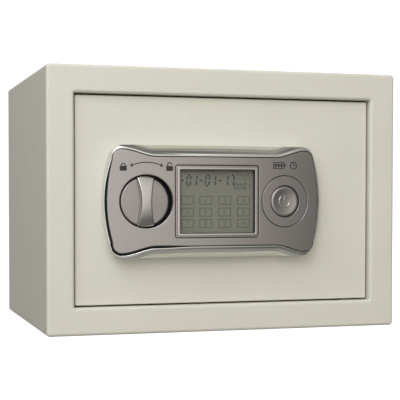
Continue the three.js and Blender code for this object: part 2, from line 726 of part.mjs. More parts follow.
function coverScrew(x, z) {
  const back = COVER.back;
  const profile = [[0, back - 11], [1.5, back - 11], [1.5, back], [3.6, back], [3.2, back + 1.4]];
  profile.push([1.8, back + 2], [0, back + 2]);
  const screw = turnedY(profile, x, z, 16);
  return cut(screw, box(x - 0.4, x + 0.4, back + 1.1, back + 3, z - 2.4, z + 2.4));
}

function panelScrew(x, z) {
  const profile = [[0, -129.5], [1.9, -129.5], [1.9, DOOR_BACK], [3.8, DOOR_BACK]];
  profile.push([3.4, DOOR_BACK + 1.6], [1.8, DOOR_BACK + 2.2], [0, DOOR_BACK + 2.2]);
  return turnedY(profile, x, z, 16);
}

function batteryTray() {
  const { x0, x1, z0, z1, front } = TRAY;
  const body = box(x0, x1, front, COVER.back + 1.2, z0, z1);
  const rim = box(x0 - 3, x1 + 3, COVER.back, COVER.back + 1.2, z0 - 3, z1 + 3);
  return cut(add(body, rim), box(x0 + 1.5, x1 - 1.5, front + 1.5, -60, z0 + 1.5, z1 - 1.5));
}

// Nickel strip with one cone spring per cell; `up` tells which way the cones point.
function contactStrip(plateZ, tipZ) {
  const low = Math.min(plateZ, plateZ + (tipZ < plateZ ? 0.8 : -0.8));
  let strip = box(TRAY.x0 + 1.5, TRAY.x1 - 1.5, CELL_Y - 6, CELL_Y + 6, low, low + 0.8);
  for (const x of CELL_XS) {
    const base = tipZ < plateZ ? plateZ + 0.2 : plateZ - 0.2;
    const profile = [[0, base], [4, base], [2, tipZ], [0, tipZ]];
    strip = add(strip, turnedZ(tipZ < plateZ ? profile.reverse() : profile, x, CELL_Y, 16));
  }
  return strip;
}

function batteryCell(x, nubUp) {
  const profile = [
    [0, CELL_LOW], [6.9, CELL_LOW], [CELL_RADIUS, CELL_LOW + 0.6], [CELL_RADIUS, CELL_HIGH - 2],
    [6.6, CELL_HIGH - 1.3], [2.75, CELL_HIGH - 1.3], [2.75, CELL_HIGH], [0, CELL_HIGH],
  ];
  const middle = (CELL_LOW + CELL_HIGH) / 2;
  const flipped = profile.map(([r, z]) => [r, 2 * middle - z]).reverse();
  return turnedZ(nubUp ? profile : flipped, x, CELL_Y);
}

function batteryCover() {
  const { x0, x1, z0, z1 } = TRAY;
  const y = COVER.back + 1.2;
  const lid = plate(roundedRect(x1 - x0 + 6, z1 - z0 + 6, 2, (x0 + x1) / 2, MID_Z), y, y + 2);
  const plug = box(x0 + 1.9, x1 - 1.9, y - 2.5, y + 1, z0 + 1.9, z1 - 1.9);
  const hollow = box(x0 + 3.2, x1 - 3.2, y - 3.5, y, z0 + 3.2, z1 - 3.2);
  const grip = box(x1 - 9, x1 - 4, y + 1.2, y + 3, MID_Z - 12, MID_Z + 12);
  return cut(add(lid, plug), hollow, grip);
}

// Round lead along a smooth path.
function lead(points, radius) {
  const path = new THREE.CatmullRomCurve3(points.map((point) => new THREE.Vector3(...point)));
  const shape = new THREE.Shape();
  shape.absarc(0, 0, radius, 0, Math.PI * 2);
  const options = { steps: 12, curveSegments: 4, bevelEnabled: false, extrudePath: path };
  return toSolid(new THREE.ExtrudeGeometry(shape, options));
}

function batteryLead() {
  const path = [[20, -124.5, 124], [20, -112, 124], [28, -104, 122], [41, -99, 120], [45, -95.4, 120]];
  return lead(path, 1.8);
}

function solenoidLead() {
  const path = [
    [15.5, -124.5, 121], [15, -112, 120], [4, -106, 108], [-14, -104, 92], [-33.5, -97, 86],
  ];
  return lead(path, 1.4);
}

// ---- assembly -----------------------------------------------------------------------------

const CREAM = [0xd3d0bd, 0.55, 0];
const CHROME = [0xd0d2d0, 0.15, 1];
const PEWTER = [0x97928e, 0.4, 0.7];
const STEEL = [0xb8b8b8, 0.35, 1];
const BLACK = [0x161616, 0.6, 0];
const object = new THREE.Group();

function place(name, solid, [color, roughness, metalness], opacity = 1) {
  const material = new THREE.MeshStandardMaterial({ color, roughness, metalness });
  material.opacity = opacity;
  material.transparent = opacity < 1;
  const mesh = new THREE.Mesh(toGeometry(solid), material);
  mesh.name = name;
  object.add(mesh);
}

function placeCabinet() {
  place('cabinet_shell', cabinetShell(), CREAM);
  place('back_panel', backPanel(), CREAM);
  place('floor_mat', floorMat(), [0x2e2f33, 0.95, 0]);
  place('upper_hinge_bush', hingeBush(LIP_HIGH, 1), [0xb08d4f, 0.4, 1]);
  place('lower_hinge_bush', hingeBush(LIP_LOW, -1), [0xb08d4f, 0.4, 1]);
  place('hinge_washer', hingeWasher(), STEEL);
}

function placeDoor() {
  place('door_panel', doorPanel(), CREAM);
  place('upper_hinge_block', hingeBlock(LIP_HIGH - DOOR_GAP - BLOCK_HEIGHT, LIP_HIGH - DOOR_GAP), CREAM);
  place('lower_hinge_block', hingeBlock(LIP_LOW + DOOR_GAP, LIP_LOW + DOOR_GAP + BLOCK_HEIGHT), CREAM);
  place('upper_hinge_pin', hingePin(202, LIP_HIGH + 4), STEEL);
  place('lower_hinge_pin', hingePin(LIP_LOW - 4, 48), STEEL);
}

function placePanel() {
  place('panel_base', panelBase(), CHROME);
  place('face_plate', facePlate(), PEWTER);
  place('display_bezel', displayBezel(), PEWTER);
  place('touch_glass', displaySlab(GLASS_FRONT, LCD_FRONT), [0xb9bcb0, 0.1, 0], 0.3);
  place('lcd_panel', displaySlab(LCD_FRONT, LIGHT_FRONT), [0x77776a, 0.3, 0]);
  place('backlight_unit', displaySlab(LIGHT_FRONT, BOARD_FRONT), [0xe8e8e0, 0.5, 0]);
  place('main_board', mainBoard(), [0x1e5b37, 0.5, 0]);
  place('knob_well', knobWell(), BLACK);
  place('button_ring', buttonRing(), PEWTER);
  place('wake_switch', wakeSwitch(), BLACK);
  place('wake_button', wakeButton(), PEWTER);
  PANEL_SCREWS.forEach(([x, z], i) => place(`panel_screw_${i + 1}`, panelScrew(x, z), STEEL));
}

function placeBoltWork() {
  place('knob', knob(), PEWTER);
  place('knob_spindle', knobSpindle(), STEEL);
  place('spindle_clip', spindleClip(), STEEL);
  place('drive_cam', driveCam(), STEEL);
  place('lock_chassis', lockChassis(), STEEL);
  place('bolt_carrier', boltCarrier(), STEEL);
  ['lower', 'upper'].forEach((level, i) => {
    place(`${level}_bolt`, slidingBolt(BOLT_HEIGHTS[i]), STEEL);
    place(`${level}_bolt_guide`, boltGuide(BOLT_HEIGHTS[i]), [0xe6e2d6, 0.6, 0]);
    place(`${level}_guide_pin`, guidePin(GUIDE_HEIGHTS[i]), STEEL);
  });
  place('solenoid_frame', solenoidFrame(), STEEL);
  place('solenoid_coil', solenoidCoil(), [0x7a3b1d, 0.6, 0]);
  place('solenoid_plunger', solenoidPlunger(), STEEL);
}

function placeBatteries() {
  place('inner_cover', innerCover(), CREAM);
  POSTS.forEach(([x, z], i) => {
    place(`cover_post_${i + 1}`, coverPost(x, z), STEEL);
    place(`cover_screw_${i + 1}`, coverScrew(x, z), STEEL);
  });
  place('battery_tray', batteryTray(), BLACK);
  place('upper_contact_strip', contactStrip(TRAY.z1 - 2.3, CELL_HIGH), STEEL);
  place('lower_contact_strip', contactStrip(TRAY.z0 + 2.3, CELL_LOW), STEEL);
  CELL_XS.forEach((x, i) => {
    place(`battery_cell_${i + 1}`, batteryCell(x, i % 2 === 0), [0x2b2b2e, 0.4, 0.2]);
  });
  place('battery_cover', batteryCover(), BLACK);
  place('battery_lead', batteryLead(), [0x9a2020, 0.6, 0]);
  place('solenoid_lead', solenoidLead(), [0x303034, 0.6, 0]);
}

placeCabinet();
placeDoor();
placePanel();
placeBoltWork();
placeBatteries();

export default object;
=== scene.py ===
"""In-room safe: finishes, fine shapes, studio floor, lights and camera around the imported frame."""
import json
import math

import bmesh
import bpy
from mathutils import Matrix, Vector, noise
from mathutils.geometry import tessellate_polygon


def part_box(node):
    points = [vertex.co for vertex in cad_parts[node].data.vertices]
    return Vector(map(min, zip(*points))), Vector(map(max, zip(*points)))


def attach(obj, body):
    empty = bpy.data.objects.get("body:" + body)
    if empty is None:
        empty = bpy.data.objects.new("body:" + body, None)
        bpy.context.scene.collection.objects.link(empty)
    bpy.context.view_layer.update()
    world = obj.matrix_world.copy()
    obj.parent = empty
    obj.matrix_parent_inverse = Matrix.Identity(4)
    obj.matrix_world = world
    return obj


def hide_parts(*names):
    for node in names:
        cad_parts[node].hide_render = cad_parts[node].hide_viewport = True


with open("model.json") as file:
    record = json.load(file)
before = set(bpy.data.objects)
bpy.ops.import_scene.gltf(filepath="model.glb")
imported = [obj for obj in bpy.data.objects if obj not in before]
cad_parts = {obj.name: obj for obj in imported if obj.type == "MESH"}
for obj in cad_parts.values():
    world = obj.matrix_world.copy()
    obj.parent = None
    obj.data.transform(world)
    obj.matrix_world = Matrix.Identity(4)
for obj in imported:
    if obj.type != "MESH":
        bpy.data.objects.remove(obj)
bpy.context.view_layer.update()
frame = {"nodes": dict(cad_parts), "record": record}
MM = 0.001

# Driving sizes in millimetres, the same as the frame's own.
SHEET = 2
FLANGE = 26
LIP_DEPTH = 22
EDGE_ROUND, CORNER_ROUND = 3, 3.5
ANCHOR_X, FLOOR_ANCHOR_Y, ANCHOR_RADIUS = 90, 20, 5
HINGE = (118.5, -110.5)
PIN_RADIUS, BUSH_RADIUS = 3, 4.5
PANEL_X, PANEL_Z = -15.5, 124
CROWN_RADIUS, CROWN_FRONT = 584, -141
SKIRT_BACK = -123
PANEL_SCREWS = [(-60, 161), (-60, 87), (72, 161), (72, 87)]
KNOB = (-83.8, PANEL_Z)
WELL_RADIUS, DISC_RADIUS = 25.3, 23.8
WELL_FLOOR = (-125.5, -123.5)
DISC_FRONT, DISC_BACK = -131.2, -127
BUTTON_X = 53.4
RING_RADIUS, BUTTON_RADIUS = 24.3, 14.9
GLASS_FRONT, LCD_FRONT = -136.6, -135.4
BOLT_Y, BOLT_RADIUS = -93, 9
BOLT_TIP_X, CARRIER_X = -146, -103


def node_mm(name):
    low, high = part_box(name)
    return [value / MM for value in low], [value / MM for value in high]


def centre_mm(name):
    return [(low + high) / 2 for low, high in zip(*node_mm(name))]


CABINET_LOW, CABINET_HIGH = node_mm("cabinet_shell")
MID_Z = (CABINET_LOW[2] + CABINET_HIGH[2]) / 2
FRONT_Y, BACK_Y = CABINET_LOW[1], CABINET_HIGH[1]
DOOR_FRONT, DOOR_BACK = node_mm("door_panel")[0][1], node_mm("door_panel")[1][1]


# ---- camera, floor, light ----

def make_camera():
    data = bpy.data.cameras.new("camera")
    data.lens = 97.65
    data.sensor_width = 36
    data.shift_x = 0.07425
    data.shift_y = 0.0745
    data.clip_end = 50
    camera = bpy.data.objects.new("camera", data)
    camera.location = (-0.3433, -1.1043, 0.1268)
    camera.rotation_euler = (math.radians(90 - 1.651), 0, math.radians(-16.262))
    bpy.context.scene.collection.objects.link(camera)
    bpy.context.scene.camera = camera


def set_inputs(node, values):
    for label, value in values.items():
        node.inputs[label.replace("_", " ")].default_value = value
    return node


def principled(name, **sockets):
    material = bpy.data.materials.new(name)
    material.use_nodes = True
    return material, set_inputs(material.node_tree.nodes["Principled BSDF"], sockets)


def make_floor():
    """A pale sweep: level floor that curves up into a far wall."""
    near, bend, radius, wall_top, half_width = -14.0, 2.2, 1.2, 5.0, 12.0
    profile = [(near, 0.0), (bend, 0.0)]
    for step in range(1, 13):
        angle = math.pi / 2 * step / 12
        profile.append((bend + radius * math.sin(angle), radius * (1 - math.cos(angle))))
    profile.append((bend + radius, wall_top))
    vertices = [(x, y, z) for y, z in profile for x in (-half_width, half_width)]
    faces = [(2 * i, 2 * i + 1, 2 * i + 3, 2 * i + 2) for i in range(len(profile) - 1)]
    mesh = bpy.data.meshes.new("floor")
    mesh.from_pydata(vertices, [], faces)
    mesh.shade_smooth()
    floor = bpy.data.objects.new("floor", mesh)
    material, _ = principled("floor_paper", Roughness=0.9, Base_Color=(0.35, 0.35, 0.35, 1),
                             Emission_Color=(1, 1, 1, 1), Emission_Strength=0.9)
    mesh.materials.append(material)
    floor.visible_glossy = False
    floor.visible_diffuse = False
    bpy.context.scene.collection.objects.link(floor)


def area_light(name, place, target, size, power, tint=(1, 1, 1)):
    data = bpy.data.lights.new(name, "AREA")
    data.shape = "RECTANGLE"
    data.size, data.size_y = size
    data.energy = power
    data.color = tint
    light = bpy.data.objects.new(name, data)
    light.location = place
    heading = Vector(target) - Vector(place)
    light.rotation_euler = heading.to_track_quat("-Z", "Y").to_euler()
    bpy.context.scene.collection.objects.link(light)


def make_lights():
    """A soft key at the upper left, light over and behind, and a faint cool card in front."""
    area_light("key", (-0.66, -0.85, 1.05), (-0.05, -0.1, 0.13), (1.3, 1.1), 10.8,
               (0.93, 0.96, 1.05))
    area_light("top", (-0.1, 0.9, 2.2), (0, 0, 0.2), (2.0, 1.4), 8)
    area_light("rear", (0.7, 2.1, 0.9), (0, 0.1, 0.12), (1.6, 1.2), 11)
    area_light("card", (-0.72, -2.0, 0.32), (-0.1, -0.14, 0.13), (0.8, 0.7), 0.6,
               (0.84, 0.9, 1.25))


def add_hump(tree, total, direction, toward, start, height):
    """Adds brightness that rises smoothly towards one direction of the surround."""
    dot = tree.nodes.new("ShaderNodeVectorMath")
    dot.operation = "DOT_PRODUCT"
    dot.inputs[1].default_value = Vector(toward).normalized()
    tree.links.new(direction, dot.inputs[0])
    hump = tree.nodes.new("ShaderNodeMapRange")
    hump.interpolation_type = "SMOOTHSTEP"
    set_inputs(hump, {"From Min": start, "To Min": 0.0, "To Max": height})
    tree.links.new(dot.outputs["Value"], hump.inputs["Value"])
    both = tree.nodes.new("ShaderNodeMath")
    tree.links.new(total, both.inputs[0])
    tree.links.new(hump.outputs[0], both.inputs[1])
    return both.outputs[0]


def make_world():
    """Soft surround: bright in front, dim overhead, lighter again below where the table lies."""
    world = bpy.data.worlds.new("studio")
    bpy.context.scene.world = world
    world.use_nodes = True
    tree = world.node_tree
    direction = tree.nodes.new("ShaderNodeTexCoord").outputs["Generated"]
    split = tree.nodes.new("ShaderNodeSeparateXYZ")
    tree.links.new(direction, split.inputs[0])
    base = tree.nodes.new("ShaderNodeMapRange")
    set_inputs(base, {"From Min": -0.5, "From Max": 0.6, "To Min": 0.11, "To Max": 0.385})
    tree.links.new(split.outputs["Z"], base.inputs["Value"])
    total = base.outputs[0]
    for toward, start, height in (((-0.22, -1, 0.22), 0.50, 0.93), ((0, -0.42, 1), 0.82, -0.22),
                                  ((0, -0.15, -1), 0.66, 0.27)):
        total = add_hump(tree, total, direction, toward, start, height)
    background = set_inputs(tree.nodes["Background"], {"Color": (1, 0.98, 0.94, 1)})
    tree.links.new(total, background.inputs["Strength"])


# ---- materials ----

def texture(shader, kind, scale, stretch=None, **settings):
    """A procedural texture in the object's own coordinates, stretched along its axes if asked."""
    tree = shader.id_data
    source = tree.nodes.new("ShaderNodeTexCoord").outputs["Object"]
    if stretch is not None:
        mapping = set_inputs(tree.nodes.new("ShaderNodeMapping"), {"Scale": stretch})
        tree.links.new(source, mapping.inputs[0])
        source = mapping.outputs[0]
    made = set_inputs(tree.nodes.new(kind), {"Scale": scale, **settings})
    tree.links.new(source, made.inputs["Vector"])
    return made


def cloud(shader, scale, **settings):
    return texture(shader, "ShaderNodeTexNoise", scale, **settings).outputs[0]


def colour_by(shader, factor, first, second):
    tree = shader.id_data
    mix = tree.nodes.new("ShaderNodeMix")
    mix.data_type = "RGBA"
    set_inputs(mix, {"A": (*first, 1), "B": (*second, 1)})
    tree.links.new(factor, mix.inputs["Factor"])
    tree.links.new(mix.outputs["Result"], shader.inputs["Base Color"])


def roughen(shader, factor, low, high):
    tree = shader.id_data
    spread = set_inputs(tree.nodes.new("ShaderNodeMapRange"), {"To Min": low, "To Max": high})
    tree.links.new(factor, spread.inputs["Value"])
    tree.links.new(spread.outputs[0], shader.inputs["Roughness"])


def emboss(shader, height, distance, strength, under=None):
    """Relief of a depth in metres, on top of any coarser relief."""
    tree = shader.id_data
    bump = set_inputs(tree.nodes.new("ShaderNodeBump"),
                      {"Distance": distance, "Strength": strength})
    tree.links.new(height, bump.inputs["Height"])
    if under is not None:
        tree.links.new(under.outputs[0], bump.inputs["Normal"])
    tree.links.new(bump.outputs[0], shader.inputs["Normal"])
    return bump


def powder_coat():
    """Cream powder coat with an orange-peel skin and faint clouding."""
    material, shader = principled("cream_powder_coat", Specular_IOR_Level=0.5)
    colour_by(shader, cloud(shader, 22, Detail=3), (0.69, 0.67, 0.565), (0.735, 0.715, 0.61))
    peel = cloud(shader, 620, Detail=2, Roughness=0.55)
    roughen(shader, peel, 0.32, 0.50)
    coarse = emboss(shader, peel, 0.00030, 0.8)
    emboss(shader, cloud(shader, 2600, Detail=1), 0.00004, 0.5, coarse)
    return material


def plated():
    """Bright plating on moulded plastic, with the slight waviness of the moulding."""
    material, shader = principled("bright_plating", Metallic=1.0)
    waves = cloud(shader, 60, Detail=2)
    colour_by(shader, waves, (0.70, 0.71, 0.66), (0.76, 0.77, 0.72))
    roughen(shader, cloud(shader, 900, Detail=3), 0.10, 0.17)
    emboss(shader, waves, 0.0003, 0.12)
    return material


def pewter(name, dark, light, rough=(0.30, 0.40)):
    """Satin metallic lacquer: fine flake, slight clouding."""
    material, shader = principled(name, Metallic=0.92)
    flake = texture(shader, "ShaderNodeTexVoronoi", 5200).outputs["Distance"]
    colour_by(shader, flake, dark, light)
    roughen(shader, cloud(shader, 140, Detail=4), *rough)
    emboss(shader, flake, 0.00002, 0.35)
    return material


def turned_steel(name, colour=(0.56, 0.56, 0.55), rough=(0.22, 0.38), stretch=(60, 60, 2400)):
    """Machined or zinc-plated steel with fine tool marks."""
    material, shader = principled(name, Metallic=1.0)
    marks = cloud(shader, 1, stretch=stretch, Detail=4)
    brighter = [min(1.0, channel * 1.18) for channel in colour]
    colour_by(shader, marks, colour, brighter)
    roughen(shader, marks, *rough)
    emboss(shader, marks, 0.00005, 0.2)
    return material


def plastic(name, first, second, rough=(0.38, 0.5), grain=1500):
    material, shader = principled(name)
    speck = cloud(shader, grain, Detail=3)
    colour_by(shader, speck, first, second)
    roughen(shader, cloud(shader, 90, Detail=3), *rough)
    emboss(shader, speck, 0.00005, 0.4)
    return material


def felt():
    """Needle-punched felt: matted fibres with sheen."""
    material, shader = principled("needle_felt", Roughness=0.95, Sheen_Weight=0.5,
                                  Sheen_Roughness=0.5)
    fibres = cloud(shader, 1800, Detail=6, Roughness=0.75)
    colour_by(shader, fibres, (0.018, 0.019, 0.023), (0.075, 0.077, 0.085))
    matting = emboss(shader, cloud(shader, 260, Detail=5, Roughness=0.7), 0.0011, 0.6)
    emboss(shader, fibres, 0.0004, 0.8, matting)
    return material


def display_cell():
    """Unlit grey-green display, faintly mottled, with a fine grain."""
    material, shader = principled("display_cell", Roughness=0.42)
    colour_by(shader, cloud(shader, 45, Detail=2), (0.205, 0.201, 0.152), (0.240, 0.234, 0.180))
    emboss(shader, cloud(shader, 3000, Detail=1), 0.00002, 0.3)
    return material


def clear_glass():
    """Clear cover glass with faint smears; it lets the display show."""
    material, shader = principled("cover_glass", Alpha=0.10, Base_Color=(0.35, 0.37, 0.33, 1))
    roughen(shader, cloud(shader, 70, Detail=4, Distortion=1.5), 0.06, 0.22)
    material.surface_render_method = "BLENDED"
    return material


def circuit():
    """Green solder mask over copper tracks."""
    material, shader = principled("solder_mask", Roughness=0.35)
    tracks = texture(shader, "ShaderNodeTexVoronoi", 260)
    tracks.distance = "MANHATTAN"
    colour_by(shader, tracks.outputs["Distance"], (0.02, 0.12, 0.05), (0.01, 0.055, 0.025))
    emboss(shader, tracks.outputs["Distance"], 0.0001, 0.3)
    return material


def winding():
    """Taped coil with the wire's turns showing through."""
    material, shader = principled("taped_winding", Roughness=0.5)
    turns = texture(shader, "ShaderNodeTexWave", 700)
    turns.bands_direction = "Z"
    colour_by(shader, turns.outputs["Fac"], (0.20, 0.06, 0.02), (0.38, 0.14, 0.05))
    emboss(shader, turns.outputs["Fac"], 0.0001, 0.5)
    return material


def light_guide():
    material, shader = principled("light_guide", Roughness=0.4, Subsurface_Weight=0.1)
    colour_by(shader, cloud(shader, 300, Detail=2), (0.74, 0.74, 0.70), (0.82, 0.82, 0.79))
    return material


MATERIALS = {
    "cream_paint": powder_coat(),
    "chromed_plastic": plated(),
    "pewter_plastic": pewter("pewter_lacquer", (0.315, 0.292, 0.278), (0.405, 0.376, 0.359)),
    "steel": turned_steel("zinc_steel"),
    "bronze": turned_steel("bronze", (0.47, 0.30, 0.13), (0.28, 0.42)),
    "black_plastic": plastic("black_moulding", (0.010, 0.010, 0.011), (0.022, 0.022, 0.023)),
    "white_plastic": light_guide(),
    "carpet": felt(),
    "lcd": display_cell(),
    "clear_glass": clear_glass(),
    "board": circuit(),
    "winding": winding(),
    "cell_jacket": plastic("cell_jacket", (0.016, 0.017, 0.020), (0.028, 0.029, 0.034),
                           (0.22, 0.3), 400),
    "red_lead": plastic("red_insulation", (0.34, 0.018, 0.015), (0.42, 0.03, 0.025)),
    "grey_lead": plastic("grey_insulation", (0.030, 0.030, 0.033), (0.05, 0.05, 0.054)),
}
# Near-black steel for the hinge pins and washer: painted shade, so no glint shows through the door
# gap.
SHADE_DARK_HINGE_STEEL = turned_steel("shade_dark_steel", (0.035, 0.034, 0.033), (0.42, 0.55))
BOLT_STEEL = turned_steel("bolt_steel", (0.60, 0.60, 0.60), (0.16, 0.30), (2600, 90, 90))
# Near-black for the face's skirt and screw bosses; where it fills the groove round the face it is
# painted shade.
SEAL_AND_SHADE_BLACK = plastic("black_seal_and_painted_shade", (0.003, 0.003, 0.003), (0.007, 0.007, 0.007), (0.75, 0.9))
BRIGHT_PEWTER = pewter("polished_pewter", (0.44, 0.415, 0.395), (0.54, 0.515, 0.49), (0.18, 0.28))
DARK_INK = plastic("dark_ink", (0.014, 0.011, 0.011), (0.024, 0.020, 0.019), (0.5, 0.6))
SEGMENT_INK = plastic("segment_ink", (0.032, 0.032, 0.028), (0.044, 0.044, 0.038), (0.5, 0.6))
FAINT_INK = plastic("faint_segment", (0.105, 0.105, 0.083), (0.12, 0.12, 0.095), (0.5, 0.6))
SLOTS = {row["node"]: row["material_slot"] for row in frame["record"]["subparts"]}


def dress_cad_nodes():
    for name, node in frame["nodes"].items():
        node.data.materials.clear()
        node.data.materials.append(MATERIALS[SLOTS[name]])


# ---- mesh helpers ----

def finish_mesh(name, bm, sharp=38):
    """Turns a bmesh in millimetres into a smooth-shaded object in metres."""
    bmesh.ops.remove_doubles(bm, verts=bm.verts[:], dist=0.0005)
    bmesh.ops.recalc_face_normals(bm, faces=bm.faces[:])
    limit = math.radians(sharp)
    for face in bm.faces:
        face.smooth = True
    for edge in bm.edges:
        edge.smooth = len(edge.link_faces) == 2 and edge.calc_face_angle(0) < limit
    bmesh.ops.scale(bm, vec=(MM, MM, MM), verts=bm.verts[:])
    mesh = bpy.data.meshes.new(name)
    bm.to_mesh(mesh)
    bm.free()
    piece = bpy.data.objects.new(name, mesh)
    bpy.context.scene.collection.objects.link(piece)
    return piece


def weighted(piece):
    modifier = piece.modifiers.new("flat_shading", "WEIGHTED_NORMAL")
    modifier.keep_sharp = True
    modifier.weight = 60
    return piece


def settle(piece, slot, body, *stands_for, material=None):
    """Gives a piece its finish, the body that it rides on and the CAD nodes that it stands for."""
    piece.data.materials.clear()
    piece.data.materials.append(material or MATERIALS[slot])
    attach(piece, body)
    if stands_for:
        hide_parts(*stands_for)


def dress(piece, node, body, material=None):
    """A finer piece in place of one CAD node, in that node's own slot."""
    settle(piece, SLOTS[node], body, node, material=material)


def fit(name, bm, node, body="door", sharp=38, flat=False, material=None):
    """Finishes a shape in place of one CAD node; flat keeps flat faces flat beside round edges."""
    piece = finish_mesh(name, bm, sharp)
    dress(weighted(piece) if flat else piece, node, body, material)


def strips(bm, rings, closed_column=True, closed_row=False):
    """Faces between matching rings of vertices."""
    rows = len(rings) if closed_row else len(rings) - 1
    for row in range(rows):
        first = rings[row]
        second = rings[(row + 1) % len(rings)]
        count = len(first) if closed_column else len(first) - 1
        for column in range(count):
            after = (column + 1) % len(first)
            corners = [first[column], first[after], second[after], second[column]]
            unique = list(dict.fromkeys(corners))
            if len(unique) > 2:
                bm.faces.new(unique)


def capped(bm, rings):
    strips(bm, rings)
    bm.faces.new(rings[0])
    bm.faces.new(rings[-1])


def vertices(bm, points):
    return [bm.verts.new(point) for point in points]


def ring_at(bm, outline, depth):
    """Vertices of an X-Z outline at a depth that is a number or a function of x."""
    level = depth if callable(depth) else lambda x: depth
    return vertices(bm, [(x, level(x), z) for x, z in outline])


def loft(bm, sections, closed=False):
    """Skin through (outline, depth) sections, capped at both ends unless it closes on itself."""
    rings = [ring_at(bm, outline, depth) for outline, depth in sections]
    if closed:
        strips(bm, rings, closed_row=True)
    else:
        capped(bm, rings)
    return bm


def smooth(value):
    t = min(max(value, 0.0), 1.0)
    return t * t * (3 - 2 * t)


def quarter_turn(steps, start=0):
    """(1 - cos, 1 - sin) along a quarter circle: from (0, 1) to (1, 0)."""
    angles = [math.pi / 2 * step / steps for step in range(start, steps + 1)]
    return [(1 - math.cos(angle), 1 - math.sin(angle)) for angle in angles]


def polar(cx, cz, radius, angle):
    return cx + radius * math.cos(angle), cz + radius * math.sin(angle)


def rounded_rect(width, height, radius, cx, cz, steps=8):
    points = []
    for index, (side, top) in enumerate([(1, 1), (-1, 1), (-1, -1), (1, -1)]):
        x, z = cx + side * (width / 2 - radius), cz + top * (height / 2 - radius)
        for step in range(steps + 1):
            points.append(polar(x, z, radius, (index + step / steps) * math.pi / 2))
    return points


def node_rect(node, grow, radius, steps=8):
    """Rounded rectangle over a CAD node, with grow added to its width and its height."""
    (x0, _, z0), (x1, _, z1) = node_mm(node)
    middle = round((x0 + x1) / 2, 3), round((z0 + z1) / 2, 3)
    return rounded_rect(x1 - x0 + grow, z1 - z0 + grow, radius, *middle, steps)


def circle(radius, cx, cz, count=96):
    return [polar(cx, cz, radius, 2 * math.pi * i / count) for i in range(count)]


def shifted(points, distance):
    """The outline moved outwards by distance, a number or a function of x and z."""
    count = len(points)
    area = sum(points[i - 1][0] * points[i][1] - points[i][0] * points[i - 1][1]
               for i in range(count))
    sign = 1 if area > 0 else -1
    moved = []
    for i, (x, z) in enumerate(points):
        before = Vector(points[i - 1])
        after = Vector(points[(i + 1) % count])
        tangent = (after - before).normalized() * sign
        reach = distance(x, z) if callable(distance) else distance
        moved.append((x + tangent.y * reach, z - tangent.x * reach))
    return moved


def cap(bm, loops):
    """Flat face between an outline and its holes."""
    flat = [vertex for loop in loops for vertex in loop]
    outlines = [[(v.co.x, v.co.z, 0) for v in loop] for loop in loops]
    for triangle in tessellate_polygon(outlines):
        corners = [flat[index] for index in triangle]
        if len(set(corners)) == 3:
            try:
                bm.faces.new(corners)
            except ValueError:
                continue


def slab(outline, holes, front, back, edge, steps=4):
    """A flat plate with rounded front edges; outlines are in X-Z, front and back are Y."""
    bm = bmesh.new()
    layers = [(0.0, back), (0.0, front + edge)]
    layers += [(edge * inset, front + edge * depth) for inset, depth in quarter_turn(steps, 1)]
    fronts, backs = [], []
    for loop, sign in [(outline, -1)] + [(hole, 1) for hole in holes]:
        rings = []
        for inset, y in layers:
            rings.append(ring_at(bm, shifted(loop, sign * inset) if inset else loop, y))
        strips(bm, rings)
        backs.append(rings[0])
        fronts.append(rings[-1])
    cap(bm, fronts)
    cap(bm, backs)
    return bm


def crown_y(x):
    return CROWN_FRONT + CROWN_RADIUS - math.sqrt(CROWN_RADIUS ** 2 - (x - PANEL_X) ** 2)


def under_crown(drop):
    """Depth that stays a set distance behind the panel's bowed front."""
    return lambda x: crown_y(x) + drop


def bow(bm, pitch=5.0):
    """Bends a slab made flat at y = 0 onto the panel's bowed front."""
    low = min(v.co.x for v in bm.verts)
    high = max(v.co.x for v in bm.verts)
    x = pitch * math.ceil(low / pitch)
    while x < high:
        geometry = bm.verts[:] + bm.edges[:] + bm.faces[:]
        bmesh.ops.bisect_plane(bm, geom=geometry, plane_co=(x, 0, 0), plane_no=(1, 0, 0),
                               dist=0.01)
        x += pitch
    for vertex in bm.verts:
        vertex.co.y += crown_y(vertex.co.x)
    return bm


def rounded_profile(points, radius, steps=4):
    """Rounds the corners of an open profile, keeping its two ends."""
    if radius <= 0:
        return points
    result = [points[0]]
    for i in range(1, len(points) - 1):
        here = Vector(points[i])
        back = Vector(points[i - 1]) - here
        ahead = Vector(points[i + 1]) - here
        reach = min(radius, back.length * 0.45, ahead.length * 0.45)
        start = here + back.normalized() * reach
        end = here + ahead.normalized() * reach
        for step in range(steps + 1):
            t = step / steps
            point = start * (1 - t) ** 2 + here * 2 * t * (1 - t) + end * t ** 2
            result.append((point.x, point.y))
    result.append(points[-1])
    return result


def turned_point(radius, angle, along, axis, centre):
    point = list(polar(*centre, radius, angle))
    point.insert("XYZ".index(axis), along)
    return point


def turned(profile, axis, centre, segments=64, closed=False, round_by=0.0):
    """Turns a (radius, along) profile about an axis; centre gives the other two coordinates."""
    bm = bmesh.new()
    rings = []
    for radius, along in rounded_profile(profile, round_by):
        if radius < 1e-6:
            rings.append([bm.verts.new(turned_point(0, 0, along, axis, centre))] * segments)
            continue
        angles = [2 * math.pi * i / segments for i in range(segments)]
        rings.append(vertices(bm, [turned_point(radius, angle, along, axis, centre)
                                   for angle in angles]))
    strips(bm, rings, closed_row=closed)
    return bm


def tube(inner, outer, start, end):
    """Profile of a plain tube or washer, to be turned closed."""
    return [(inner, start), (outer, start), (outer, end), (inner, end)]


def rod(radius, axis, centre, start, end, segments=48):
    return turned(tube(0, radius, start, end), axis, centre, segments)


def box(low, high):
    bm = bmesh.new()
    size = [b - a for a, b in zip(low, high)]
    middle = [(a + b) / 2 for a, b in zip(low, high)]
    matrix = Matrix.Translation(middle) @ Matrix.Diagonal((*size, 1))
    bmesh.ops.create_cube(bm, size=1, matrix=matrix)
    return bm


def keep_result(piece):
    bpy.context.view_layer.update()
    graph = bpy.context.evaluated_depsgraph_get()
    mesh = bpy.data.meshes.new_from_object(piece.evaluated_get(graph))
    piece.modifiers.clear()
    piece.data = mesh


